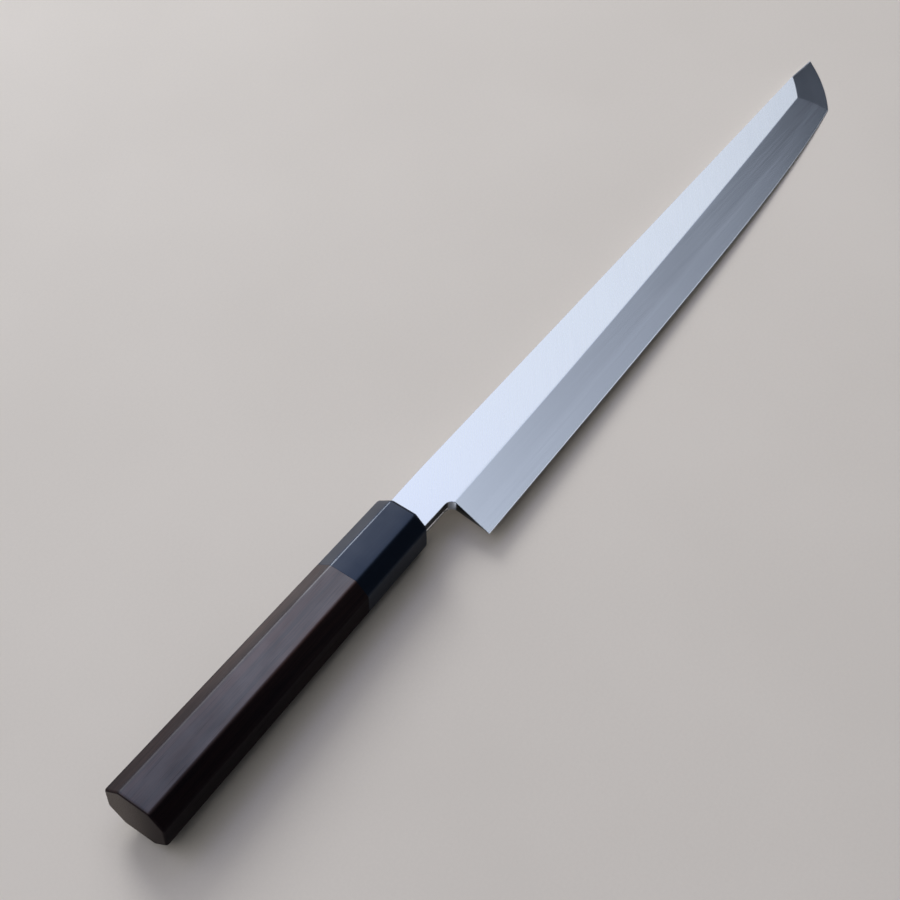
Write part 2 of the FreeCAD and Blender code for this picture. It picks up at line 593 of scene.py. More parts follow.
@dataclass(frozen=True)
class Workshop:
    """What every finish draws on: the knife's axes and the shared effects."""

    frame: KnifeFrame
    hairlines: Hairlines
    edge_wear: EdgeWear
    mottle: SoftMottle
    wood_grain: WoodGrain

    @classmethod
    def fitted(cls, frame: KnifeFrame) -> "Workshop":
        """Builds the shared effects for a knife's frame."""
        return cls(frame, Hairlines(), EdgeWear(), SoftMottle(), WoodGrain())


class Coat:
    """One material in the making, with its node tree, its shader and the place that it is drawn at."""

    # Polish thinned on the walls: painted shade in their reflections.
    polish_facing = (0.05, 1.0)
    wall_shade_polish = 0.12
    # Painted shade on the side away from the light: the lit direction's turn from Z, the facing span and the
    # shaded side's tone.
    shade_turn = 25.0
    shade_facing = (0.30, 0.88)
    shaded_side_tone = 0.25

    def __init__(self, name: str, shop: Workshop, axes: Matrix) -> None:
        """Starts a material with one surface shader.

        Args:
            name: The material's name.
            shop: The shared effects.
            axes: From the axes that it is drawn in, in millimetres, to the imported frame.
        """
        self.shop = shop
        self.along, self.across, self.out = KnifeFrame.directions(axes)
        self.material = bpy.data.materials.new(name)
        self.material.use_nodes = True
        self.material.node_tree.nodes.clear()
        self.graph = Graph(self.material.node_tree)
        self.shader = self.graph.node("ShaderNodeBsdfPrincipled")
        self.graph.node("ShaderNodeOutputMaterial", {"Surface": self.shader.outputs["BSDF"]})
        origin, turn, scale = axes.inverted().decompose()
        inputs = {
            "Vector": self.graph.field("ShaderNodeTexCoord", "Object"),
            "Location": origin,
            "Rotation": turn.to_euler(),
            "Scale": scale,
        }
        self.place = self.graph.field("ShaderNodeMapping", "Vector", inputs, vector_type="POINT")

    def attribute(self, name: str) -> Field:
        """A number stored on the mesh."""
        return self.graph.field("ShaderNodeAttribute", "Fac", attribute_name=name)

    def facing(self, towards: Vector) -> Field:
        """How far the surface faces a direction."""
        return self.graph.facing(self.graph.field("ShaderNodeNewGeometry", "Normal"), towards)

    def strokes(self, strokes: Strokes) -> tuple[Field, Field]:
        """Draws hairlines.

        Args:
            strokes: How the lines run.

        Returns:
            The broad and the fine lines.
        """
        turn = math.radians(strokes.turn)
        drawn = self.shop.hairlines.place(
            self.graph, Place=self.place, Turn=turn, Across=strokes.across, Along=strokes.along
        )
        return drawn["Lines"], drawn["Fine"]

    def cloud(self, cloud: Cloud) -> Field:
        """A slow unevenness, as a factor around 1.

        Args:
            cloud: Its size and strength.

        Returns:
            The factor.
        """
        place = self.graph.times(self.place, cloud.stretch)
        made = self.shop.mottle.place(self.graph, Place=place, Waves=cloud.waves, Amount=cloud.amount)
        return made["Tone"]

    def wear(self, band: Band) -> Field:
        """A mask along the piece's edges.

        Args:
            band: Its width and unevenness.

        Returns:
            The mask, 1 on the edge itself.
        """
        inputs = {"Gap": self.attribute(GAP_NAME), "Width": band.width, "Ragged": band.ragged}
        return self.shop.edge_wear.place(self.graph, Place=self.place, **inputs)["Wear"]

    def grain(self, timber: Timber) -> dict[str, Field]:
        """Draws a wood's grain.

        Args:
            timber: The wood.

        Returns:
            The grain's outputs by name.
        """
        return self.shop.wood_grain.place(
            self.graph,
            Place=self.place,
            Dark=(*timber.dark, 1.0),
            Light=(*timber.light, 1.0),
            Streak=(*timber.streak, 1.0),
            Bands=timber.bands,
            Pores=timber.pores,
        )

    def polish_with_wall_shade(self) -> Field:
        """The polish's weight: 1 on the upper facets, little on the walls, which paints shade into the walls'
        reflections.
        """
        return self.facing(self.out).ramp(*self.polish_facing, self.wall_shade_polish, 1.0)

    def painted_side_shade(self) -> Field:
        """Painted shade: the side that faces away from the light is darkened, by which way the surface faces.

        Returns:
            One where it is lightest.
        """
        turn = math.radians(self.shade_turn)
        lit_side = self.out * math.cos(turn) + self.across * math.sin(turn)
        return self.facing(lit_side).ramp(*self.shade_facing, self.shaded_side_tone, 1.0)

    def surface(self, colour: Field, rough: Field, metallic: float = 0.0) -> None:
        """Sets what the surface is like.

        Args:
            colour: Its colour.
            rough: Its roughness.
            metallic: One for bare metal.
        """
        self.graph.feed(self.shader.inputs["Base Color"], colour)
        self.graph.feed(self.shader.inputs["Roughness"], rough)
        self.shader.inputs["Metallic"].default_value = metallic

    def sheen(self, level: float, tint: Colour) -> None:
        """Sets the strength and the tint of the surface's own shine."""
        self.shader.inputs["Specular IOR Level"].default_value = level
        self.shader.inputs["Specular Tint"].default_value = (*tint, 1.0)

    def polish(self, weight: Field, rough: float, index: float) -> None:
        """Lays a thin polish over a surface that has little shine of its own.

        Args:
            weight: How much polish there is.
            rough: The polish's roughness.
            index: The polish's index of refraction.
        """
        self.shader.inputs["Coat Roughness"].default_value = rough
        self.shader.inputs["Coat IOR"].default_value = index
        self.graph.feed(self.shader.inputs["Coat Weight"], weight)

    def leaning(self, lean: Field) -> Field:
        """Tilts the shading normal outwards, as a fine hone or a buffing wheel does along an edge.

        Args:
            lean: How far it tilts.

        Returns:
            The tilted normal.
        """
        normal = self.graph.field("ShaderNodeNewGeometry", "Normal")
        lift = self.graph.times(self.graph.vector(lean, lean, lean), self.out)
        return self.graph.combine("NORMALIZE", self.graph.combine("ADD", normal, lift))

    def bump(self, height: Field, relief: Relief, normal: Field | None = None) -> None:
        """Roughens the surface.

        Args:
            height: The height field.
            relief: How much of it shows, and how deep it is.
            normal: The normal to start from, if not the surface's own.
        """
        inputs = {"Strength": relief.strength, "Distance": relief.depth * MILLIMETRE, "Height": height}
        if normal is not None:
            inputs["Normal"] = normal
        self.graph.feed(self.shader.inputs["Normal"], self.graph.field("ShaderNodeBump", "Normal", inputs))


class Finish:
    """A finish, drawn in the handle's axes."""

    name = "finish"

    def axes(self, frame: KnifeFrame) -> Matrix:
        """The axes that the finish is drawn in."""
        return frame.handle

    def material(self, shop: Workshop) -> bpy.types.Material:
        """Builds the finish.

        Args:
            shop: The shared effects.

        Returns:
            The material.
        """
        coat = Coat(self.name, shop, self.axes(shop.frame))
        self.dress(coat)
        return coat.material

    def dress(self, coat: Coat) -> None:
        """Draws the finish onto a new material."""
        raise NotImplementedError


class BladeFinish(Finish):
    """A finish of bare metal, drawn in the blade's axes."""

    line_span = (0.25, 0.75)

    def axes(self, frame: KnifeFrame) -> Matrix:
        """The axes that the finish is drawn in."""
        return frame.blade


@dataclass(frozen=True)
class FlatSatin(BladeFinish):
    """The blade's flat, ground with slanting hairlines."""

    name = "flat_satin"
    dull: Colour = (0.550, 0.576, 0.597)
    bright: Colour = (0.558, 0.584, 0.605)
    edge: Colour = (0.66, 0.68, 0.71)
    lines: Strokes = Strokes(turn=-38.0, across=1.5, along=0.035)
    broad_weight: float = 0.6
    fine_weight: float = 0.4
    cloud: Cloud = Cloud(waves=0.045, amount=0.25)
    rough_span: Span = (0.285, 0.255)
    edge_band: Band = Band(width=0.45, ragged=0.4)
    edge_strength: float = 0.2
    relief: Relief = Relief(strength=0.012, depth=0.02)

    def dress(self, coat: Coat) -> None:
        """Draws the finish.

        Args:
            coat: The new material.
        """
        graph = coat.graph
        broad, fine = coat.strokes(self.lines)
        tone = coat.cloud(self.cloud)
        drawn = (broad * self.broad_weight + fine * self.fine_weight) * tone
        share = drawn.ramp(*self.line_span)
        wear = coat.wear(self.edge_band)
        colour = graph.blend(share, self.dull, self.bright)
        colour = graph.blend(wear * self.edge_strength, colour, self.edge)
        rough = share.ramp(0.0, 1.0, *self.rough_span)
        coat.surface(colour, rough, metallic=1.0)
        coat.bump(fine + broad, self.relief)


@dataclass(frozen=True)
class BevelHaze(BladeFinish):
    """The long bevel: hazy soft iron above a waving weld line, brighter hard steel below."""

    name = "bevel_haze"
    iron: Colour = (0.500, 0.541, 0.603)
    iron_dull: Colour = (0.478, 0.518, 0.580)
    steel: Colour = (0.525, 0.567, 0.632)
    haze: Colour = (0.528, 0.570, 0.635)
    edge: Colour = (0.72, 0.74, 0.76)
    lines: Strokes = Strokes(turn=0.0, across=1.1, along=0.012)
    fine_weight: float = 0.5
    steel_lines: float = 0.5
    cloud: Cloud = Cloud(waves=0.03, amount=0.5)
    weld_share: float = 0.665
    weld_wave: float = 0.045
    weld_soft: float = 0.035
    wave: Noise = Noise(waves=0.06, detail=4.0, roughness=0.6, stretch=(1.0, 0.15, 0.15))
    haze_above: float = 0.22
    haze_below: float = 0.03
    haze_strength: float = 0.9
    edge_band: Band = Band(width=0.85, ragged=0.2)
    weld_rough: Span = (0.14, 0.15)
    line_rough: float = 0.03
    haze_rough: float = 0.02
    edge_rough: float = 0.28
    hone_span: Span = (0.35, 0.60)
    hone_lift: float = 1.1
    hone_run: Span = (110.0, 265.0)
    relief: Relief = Relief(strength=0.08, depth=0.02)

    def dress(self, coat: Coat) -> None:
        """Draws the finish.

        Args:
            coat: The new material.
        """
        graph = coat.graph
        broad, fine = coat.strokes(self.lines)
        weld = coat.attribute(BEVEL_NAME) + graph.swing(coat.place, self.wave) * self.weld_wave
        steel = weld.ramp(self.weld_share - self.weld_soft, self.weld_share + self.weld_soft)
        hazy = weld.ramp(self.weld_share - self.haze_above, self.weld_share - self.haze_below) * (1.0 - steel)
        tone = coat.cloud(self.cloud)
        lines = (broad * tone).ramp(*self.line_span)
        iron = graph.blend(lines, self.iron_dull, self.iron)
        iron = graph.blend(hazy * self.haze_strength, iron, self.haze)
        colour = graph.blend(steel, iron, graph.blend(lines * self.steel_lines, self.steel, self.iron))
        wear = coat.wear(self.edge_band)
        rough = steel.ramp(0.0, 1.0, *self.weld_rough)
        rough = rough + lines * self.line_rough + hazy * self.haze_rough + wear * self.edge_rough
        coat.surface(graph.blend(wear, colour, self.edge), rough, metallic=1.0)
        honed = coat.attribute(GAP_NAME).ramp(*self.hone_span, self.hone_lift, 0.0)
        honed = honed * graph.parts(coat.place)[0].ramp(*self.hone_run, 1.0, 0.0)
        coat.bump(fine * self.fine_weight + broad, self.relief, coat.leaning(honed))


@dataclass(frozen=True)
class PolishedWall(BladeFinish):
    """The blade's narrow sides, polished along their length, near black as painted dark reflection, with a
    painted glint in the notch and along a lower line.
    """

    name: str = "dark_wall"
    # Painted dark reflection: near-black steel that stands in for the shaded table the walls mirror.
    dark: Colour = (0.035, 0.038, 0.044)
    bright: Colour = (0.080, 0.084, 0.094)
    lines: Strokes = Strokes(turn=0.0, across=3.0, along=0.05)
    rough: float = 0.17
    line_rough: float = 0.14
    # The painted glint's bright colour and roughness, for the notch and a thin lower line.
    ground: Colour = (0.80, 0.815, 0.84)
    glint_rough: float = 0.16
    notch_turn: float = 58.0
    notch_span: Span = (0.82, 0.93)
    notch_lift: float = 0.78
    under_facing: Span = (0.85, 0.95)
    under_low: float = -1.65
    under_high: float = -0.90
    under_soft: float = 0.15
    under_lift: float = 0.62

    def dress(self, coat: Coat) -> None:
        """Draws the finish.

        Args:
            coat: The new material.
        """
        graph = coat.graph
        broad, fine = coat.strokes(self.lines)
        # Masks of the painted glint: a sector of the notch and a thin line low on the neck's side.
        turn = math.radians(self.notch_turn)
        notch_glint = coat.facing(-coat.along * math.sin(turn) - coat.across * math.cos(turn))
        notch_glint = notch_glint.ramp(*self.notch_span)
        height = graph.parts(coat.place)[2]
        above = height.ramp(self.under_low - self.under_soft, self.under_low)
        below = height.ramp(self.under_high, self.under_high + self.under_soft, 1.0, 0.0)
        line_glint = above * below * coat.facing(-coat.across).ramp(*self.under_facing)
        colour = graph.blend(broad.ramp(*self.line_span), self.dark, self.bright)
        colour = graph.blend(graph.most(notch_glint, line_glint), colour, self.ground)
        rough = self.rough + fine * self.line_rough + notch_glint * self.glint_rough
        coat.surface(colour, rough, metallic=1.0)
        lean = graph.most(notch_glint * self.notch_lift, line_glint * self.under_lift)
        graph.feed(coat.shader.inputs["Normal"], coat.leaning(lean))


@dataclass(frozen=True)
class BackGrind(BladeFinish):
    """The back: a hollow with grinding lines inside a flat, brighter rim."""

    name = "back_grind"
    hollow: Colour = (0.60, 0.62, 0.65)
    hollow_dull: Colour = (0.50, 0.52, 0.55)
    rim: Colour = (0.72, 0.74, 0.77)
    rim_depth: float = 0.08
    hollow_lines: Strokes = Strokes(turn=72.0, across=2.2, along=0.06)
    rim_lines: Strokes = Strokes(turn=0.0, across=2.0, along=0.02)
    rim_span: Span = (0.3, 0.8)
    rim_strength: float = 0.5
    cloud: Cloud = Cloud(waves=0.04, amount=0.3)
    depth_rough: Span = (0.20, 0.36)
    line_rough: float = 0.06
    rim_weight: float = 0.4
    relief: Relief = Relief(strength=0.12, depth=0.02)

    def dress(self, coat: Coat) -> None:
        """Draws the finish.

        Args:
            coat: The new material.
        """
        graph = coat.graph
        depth = coat.attribute(HOLLOW_NAME).ramp(0.0, self.rim_depth)
        cross_broad, cross_fine = coat.strokes(self.hollow_lines)
        rim_broad, rim_fine = coat.strokes(self.rim_lines)
        tone = coat.cloud(self.cloud)
        ground = (cross_broad * tone).ramp(*self.line_span)
        hollow = graph.blend(ground, self.hollow_dull, self.hollow)
        rim_share = rim_broad.ramp(*self.rim_span) * self.rim_strength
        rim = graph.blend(rim_share, self.rim, self.hollow)
        rough = depth.ramp(0.0, 1.0, *self.depth_rough) + ground * self.line_rough
        coat.surface(graph.blend(depth, rim, hollow), rough, metallic=1.0)
        coat.bump(cross_fine * depth + rim_fine * self.rim_weight, self.relief)


@dataclass(frozen=True)
class BlackHorn(Finish):
    """Polished black buffalo horn with faint fibres; its blue tint is painted sky reflection, its side away
    from the light has painted shade, and its polish grows towards the spine as a painted sheen.
    """

    name = "black_horn"
    # The blue in these near-blacks is painted sky reflection.
    black: Colour = (0.0024, 0.0040, 0.0085)
    fibre: Colour = (0.0060, 0.0095, 0.0180)
    pale: Colour = (0.014, 0.018, 0.025)
    fibres: Strokes = Strokes(turn=3.4377, across=0.9, along=0.05)
    fibre_span: Span = (0.45, 0.85)
    tone: Cloud = Cloud(waves=0.12, amount=0.35)
    rough: float = 0.45
    fine_rough: float = 0.10
    fibre_rough: float = 0.06
    # A blue-tinted shine: painted sky reflection.
    sheen: float = 0.36
    painted_sky_tint: Colour = (0.28, 0.52, 1.0)
    cloud: Cloud = Cloud(waves=0.11, amount=0.45)
    edge_band: Band = Band(width=0.9, ragged=0.6)
    edge_strength: float = 0.4
    edge_dulling: float = 0.30
    # Painted sheen: the polish grows across the horn towards the spine side, where the light falls.
    sheen_sides: Span = (-9.0, 6.0)
    sheen_span: Span = (0.50, 1.25)
    polish: float = 0.58
    polish_swing: float = 0.3
    polish_rough: float = 0.13
    polish_index: float = 1.5
    fine_weight: float = 0.6
    relief: Relief = Relief(strength=0.10, depth=0.03)

    def dress(self, coat: Coat) -> None:
        """Draws the finish.

        Args:
            coat: The new material.
        """
        graph = coat.graph
        broad, fine = coat.strokes(self.fibres)
        tone = coat.cloud(self.tone)
        fibres = (broad * tone).ramp(*self.fibre_span)
        wear = coat.wear(self.edge_band)
        # Painted shade: the horn's side away from the light is darker in colour and in polish.
        shade = coat.painted_side_shade()
        colour = graph.shaded(graph.blend(fibres, self.black, self.fibre), shade)
        colour = graph.blend(wear * self.edge_strength, colour, self.pale)
        coat.surface(colour, self.rough + fine * self.fine_rough + fibres * self.fibre_rough)
        coat.sheen(self.sheen, self.painted_sky_tint)
        # Painted sheen across the horn, stronger towards the spine.
        painted_side_sheen = graph.parts(coat.place)[1].ramp(*self.sheen_sides, *self.sheen_span)
        weight = (self.polish + (fine - HALF) * self.polish_swing) * coat.polish_with_wall_shade() * painted_side_sheen * shade
        cloud = coat.cloud(self.cloud)
        weight = weight * cloud * (1.0 - wear * self.edge_dulling)
        coat.polish(weight, self.polish_rough, self.polish_index)
        coat.bump(fine * self.fine_weight + broad, self.relief)


@dataclass(frozen=True)
class DarkWood(Finish):
    """Oiled dark hardwood, lighter on its end grain and along its edges, with painted shade towards the butt,
    on the side away from the light and low on the end grain, and a painted blue tint in its shine.
    """

    name = "dark_wood"
    timber: Timber = Timber(
        dark=(0.0090, 0.0056, 0.0045),
        light=(0.050, 0.0235, 0.0165),
        streak=(0.060, 0.024, 0.015),
        bands=0.42,
        pores=0.35,
    )
    end_grain: Colour = (0.172, 0.148, 0.126)
    end_shade_and_dark: Colour = (0.043, 0.035, 0.030)
    end_span: Span = (0.80, 0.97)
    # Painted shade: the end grain darkens towards its lower side over this span.
    end_shade_sides: Span = (-11.0, 9.0)
    speckle: Noise = Noise(waves=2.4, detail=3.0, roughness=0.7)
    speckle_span: Span = (0.35, 0.75)
    speckle_strength: float = 0.5
    worn: Colour = (0.032, 0.022, 0.020)
    edge_band: Band = Band(width=1.1, ragged=0.7)
    edge_strength: float = 0.2
    crest_band: Band = Band(width=0.65, ragged=0.2)
    crest_dulling: Span = (0.50, 0.80)
    crest_fade: float = 0.06
    cloud: Cloud = Cloud(waves=0.16, amount=0.38, stretch=(0.4, 1.0, 1.0))
    # A blue-tinted shine: painted sky reflection.
    sheen: float = 0.08
    painted_sky_tint: Colour = (0.55, 0.50, 1.0)
    wrap: Span = (3.2, 8.0)
    # Painted shade: the colour darkens towards the butt, where less light falls.
    butt_painted_shade: float = 0.60
    butt_run: Span = (-150.0, -40.0)
    rough: float = 0.60
    pore_rough: float = 0.12
    end_rough: float = 0.2
    # The polish falls towards the butt: painted shade in the sheen.
    polish_shade_span: Span = (0.86, 0.56)
    pore_dulling: float = 0.2
    polish_rough: float = 0.36
    polish_index: float = 1.8
    relief: Relief = Relief(strength=0.22, depth=0.05)

    def end_colour(self, coat: Coat) -> Field:
        """The speckled end grain, with painted shade darkening it towards its lower side.

        Args:
            coat: The new material.

        Returns:
            The colour.
        """
        graph = coat.graph
        # Painted shade towards the end grain's lower side.
        painted_low_shade = graph.parts(coat.place)[1].ramp(*self.end_shade_sides, 1.0, 0.0)
        speckle = graph.noise(coat.place, self.speckle).ramp(*self.speckle_span)
        colour = graph.blend(painted_low_shade, self.end_grain, self.end_shade_and_dark)
        return graph.blend(speckle * self.speckle_strength, colour, self.end_shade_and_dark)

    def polish_and_shade(self, coat: Coat, butt: Field, pore: Field) -> Field:
        """How much polish the sides hold, falling towards the butt and on the walls as painted shade in the
        sheen, with the crests worn dull.

        Args:
            coat: The new material.
            butt: One at the butt, zero at the front.
            pore: The pore mask.

        Returns:
            The polish's weight.
        """
        # Painted shade: the polish falls towards the butt.
        weight = butt.ramp(0.0, 1.0, *self.polish_shade_span)
        wrap = butt.ramp(0.0, 1.0, *self.wrap)
        weight = weight * (1.0 - pore * self.pore_dulling) * coat.polish_with_wall_shade() ** wrap
        crest = coat.wear(self.crest_band)
        dulling = butt.ramp(0.0, self.crest_fade, *self.crest_dulling)
        cloud = coat.cloud(self.cloud)
        return weight * (1.0 - crest * dulling) * cloud

    def dress(self, coat: Coat) -> None:
        """Draws the finish.

        Args:
            coat: The new material.
        """
        graph = coat.graph
        grain = coat.grain(self.timber)
        end = abs(coat.facing(coat.along)).ramp(*self.end_span)
        butt = graph.parts(coat.place)[0].ramp(*self.butt_run, 1.0, 0.0)
        # Painted shade: the wood's side away from the light is darker in colour and in polish.
        lit_side = coat.painted_side_shade()
        # Painted shade towards the butt.
        colour = graph.shaded(grain["Colour"], butt.ramp(0.0, 1.0, 1.0, self.butt_painted_shade) * lit_side)
        colour = graph.blend(end, colour, self.end_colour(coat))
        wear = coat.wear(self.edge_band)
        colour = graph.blend(wear * self.edge_strength, colour, self.worn)
        coat.surface(colour, self.rough + grain["Pore"] * self.pore_rough + end * self.end_rough)
        coat.sheen(self.sheen, self.painted_sky_tint)
        weight = self.polish_and_shade(coat, butt, grain["Pore"]) * (1.0 - end) * lit_side
        coat.polish(weight, self.polish_rough, self.polish_index)
        coat.bump(grain["Height"], self.relief)


@dataclass(frozen=True)
class LightWood(Finish):
    """The plain pale wood of the core dowel."""

    name = "light_wood"
    timber: Timber = Timber(
        dark=(0.42, 0.34, 0.22),
        light=(0.62, 0.53, 0.38),
        streak=(0.50, 0.39, 0.25),
        bands=0.5,
        pores=0.4,
    )
    rough: float = 0.62
    pore_rough: float = 0.1
    relief: Relief = Relief(strength=0.3, depth=0.06)

    def dress(self, coat: Coat) -> None:
        """Draws the finish.

        Args:
            coat: The new material.
        """
        grain = coat.grain(self.timber)
        coat.surface(grain["Colour"], self.rough + grain["Pore"] * self.pore_rough)
        coat.bump(grain["Height"], self.relief)


@dataclass(frozen=True)
class DarkResin(Finish):
    """The resin that seals the mouth round the tang."""

    name = "dark_resin"
    deep: Colour = (0.012, 0.010, 0.009)
    pale: Colour = (0.040, 0.034, 0.028)
    drops: Noise = Noise(waves=1.3, detail=4.0, roughness=0.6)
    drop_span: Span = (0.35, 0.7)
    cloud: Cloud = Cloud(waves=0.5, amount=0.4)
    rough: float = 0.35
    drop_rough: float = 0.15
    relief: Relief = Relief(strength=0.3, depth=0.1)

    def dress(self, coat: Coat) -> None:
        """Draws the finish.

        Args:
            coat: The new material.
        """
        drops = coat.graph.noise(coat.place, self.drops)
        tone = coat.cloud(self.cloud)
        share = (drops * tone).ramp(*self.drop_span)
        colour = coat.graph.blend(share, self.deep, self.pale)
        coat.surface(colour, self.rough + drops * self.drop_rough)
        coat.bump(drops, self.relief)


@dataclass(frozen=True)
class PaleTable(Finish):
    """A plain pale table top."""

    name = "studio_floor"
    pale: Colour = (0.715, 0.636, 0.527)
    deep: Colour = (0.680, 0.604, 0.499)
    slow: Noise = Noise(waves=0.009, detail=3.0)
    fine: Noise = Noise(waves=0.9, detail=2.0)
    slow_weight: float = 0.7
    fine_weight: float = 0.3
    tone_span: Span = (0.3, 0.7)
    rough: float = 0.62
    fine_rough: float = 0.1
    relief: Relief = Relief(strength=0.1, depth=0.1)

    def axes(self, frame: KnifeFrame) -> Matrix:
        """The axes that the finish is drawn in."""
        return Matrix.Scale(MILLIMETRE, 4)

    def dress(self, coat: Coat) -> None:
        """Draws the finish.

        Args:
            coat: The new material.
        """
        slow = coat.graph.noise(coat.place, self.slow)
        fine = coat.graph.noise(coat.place, self.fine)
        share = (slow * self.slow_weight + fine * self.fine_weight).ramp(*self.tone_span)
        colour = coat.graph.blend(share, self.deep, self.pale)
        coat.surface(colour, self.rough + fine * self.fine_rough)
        coat.bump(fine, self.relief)


class Shell:
    """The faces of one closed piece. Corners that meet at a point share it."""

    merge = 1.0e4
    sharp_degrees = 35.0

    def __init__(self) -> None:
        """Starts with no faces."""
        self.index: dict[tuple[int, ...], int] = {}
        self.points: list[np.ndarray] = []
        self.values: dict[str, list[float]] = {GAP_NAME: [], BEVEL_NAME: [], HOLLOW_NAME: []}
        self.faces: list[list[int]] = []
        self.finishes: list[int] = []
        self.creases: set[tuple[int, int]] = set()

    def corner(self, point: np.ndarray, values: dict[str, float]) -> int:
        """The number of the corner at a point.

        Args:
            point: Where it is, in millimetres.
            values: Numbers to store on a new corner.

        Returns:
            Its number.
        """
        key = tuple(np.round(point * self.merge).astype(np.int64).tolist())
        if key not in self.index:
            self.index[key] = len(self.points)
            self.points.append(np.asarray(point, float))
            for name, stored in self.values.items():
                stored.append(float(values.get(name, 0.0)))
        return self.index[key]

    def face(self, corners: Sequence[int], finish: BladeFace) -> None:
        """Adds one face, without repeated corners and only if it has an area.

        Args:
            corners: Its corners in order.
            finish: Its finish.
        """
        kept = [c for i, c in enumerate(corners) if c != corners[i - 1]]
        if len(set(kept)) > 2:
            self.faces.append(kept)
            self.finishes.append(finish.value)

    def sheet(
        self,
        plan: np.ndarray,
        heights: np.ndarray,
        finish: BladeFace,
        values: dict[str, np.ndarray] | None = None,
        crease: bool = False,
    ) -> None:
        """Adds a grid of faces.

        Args:
            plan: X and Y of each corner, as columns by rows by two.
            heights: Z of each corner.
            finish: The faces' finish.
            values: Numbers to store on the corners.
            crease: Whether the first row stays a crisp edge.
        """
        numbers = np.zeros(heights.shape, int)
        for place in np.ndindex(heights.shape):
            stored = {name: grid[place] for name, grid in (values or {}).items()}
            numbers[place] = self.corner(np.append(plan[place], heights[place]), stored)
        columns, rows = heights.shape
        for i in range(columns - 1):
            for j in range(rows - 1):
                ring = [numbers[i, j], numbers[i + 1, j], numbers[i + 1, j + 1], numbers[i, j + 1]]
                self.face(ring, finish)
            if crease:
                self.creases.add(tuple(sorted((numbers[i, 0], numbers[i + 1, 0]))))

    def wall(
        self, line: np.ndarray, top: np.ndarray, bottom: np.ndarray, finish: BladeFace = BladeFace.WALL
    ) -> None:
        """Adds an upright band between two heights over one line of the plan.

        Args:
            line: X and Y along the line.
            top: The upper heights.
            bottom: The lower heights.
            finish: The band's finish.
        """
        plan = np.stack([line, line], axis=1)
        gaps = np.zeros(plan.shape[:2])
        self.sheet(plan, np.stack([top, bottom], axis=1), finish, {GAP_NAME: gaps})

    def piece(self, name: str, axes: Matrix, materials: Sequence[bpy.types.Material]) -> bpy.types.Object:
        """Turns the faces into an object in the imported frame.

        Args:
            name: The object's name.
            axes: From the shell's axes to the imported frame.
            materials: One material for each finish.

        Returns:
            The object.
        """
        mesh = bpy.data.meshes.new(name)
        mesh.from_pydata([tuple(p) for p in self.points], [], self.faces)
        for value_name, stored in self.values.items():
            attribute = mesh.attributes.new(value_name, "FLOAT", "POINT")
            attribute.data.foreach_set("value", np.asarray(stored, np.float32))
        for material in materials:
            mesh.materials.append(material)
        mesh.polygons.foreach_set("material_index", np.asarray(self.finishes, np.int32))
        work = bmesh.new()
        work.from_mesh(mesh)
        bmesh.ops.recalc_face_normals(work, faces=work.faces)
        for face in work.faces:
            face.smooth = True
        limit = math.radians(self.sharp_degrees)
        for edge in work.edges:
            pair = tuple(sorted(vertex.index for vertex in edge.verts))
            if pair in self.creases or edge.calc_face_angle(math.pi) > limit:
                edge.smooth = False
        open_edges = sum(1 for edge in work.edges if not edge.is_manifold)
        work.to_mesh(mesh)
        work.free()
        if open_edges:
            log.warning("%s has %d open edges", name, open_edges)
        mesh.transform(axes)
        return linked(name, mesh)


def arch(share: np.ndarray) -> np.ndarray:
    """A bow that is 0 at both ends of a stretch and 1 at its middle."""
    return 4.0 * share * (1.0 - share)


def nearness(distance: np.ndarray, reach: float) -> np.ndarray:
    """One where a distance is zero, falling to zero over a reach."""
    return np.clip(1.0 - distance / reach, 0.0, 1.0) ** 2


def travelled(points: np.ndarray) -> np.ndarray:
    """How far along a line each of its points lies, from 0 to 1."""
    steps = np.linalg.norm(np.diff(points, axis=0), axis=1)
    return np.concatenate([[0.0], np.cumsum(steps)]) / steps.sum()


def square_to(line: np.ndarray) -> np.ndarray:
    """The direction a quarter turn to the left of a line in the plan."""
    return np.array([-line[1], line[0]]) / np.linalg.norm(line)


@dataclass
class Sheet:
    """One patch of the blade's plan with its three heights.

    Attributes:
        plan: X and Y of each corner, as columns by rows by two.
        front: Heights of the front.
        weld: Heights of the plane where iron and steel are welded.
        back: Heights of the back.
        values: Numbers stored on the corners.
    """

    plan: np.ndarray
    front: np.ndarray
    weld: np.ndarray
    back: np.ndarray
    values: dict[str, np.ndarray]

    def cut(self, columns: slice = slice(None), rows: slice = slice(None)) -> "Sheet":
        """A part of the patch.

        Args:
            columns: The columns that are kept.
            rows: The rows that are kept.

        Returns:
            The part.
        """
        kept = {name: grid[columns, rows] for name, grid in self.values.items()}
        arrays = (self.plan, self.front, self.weld, self.back)
        return Sheet(*(array[columns, rows] for array in arrays), kept)


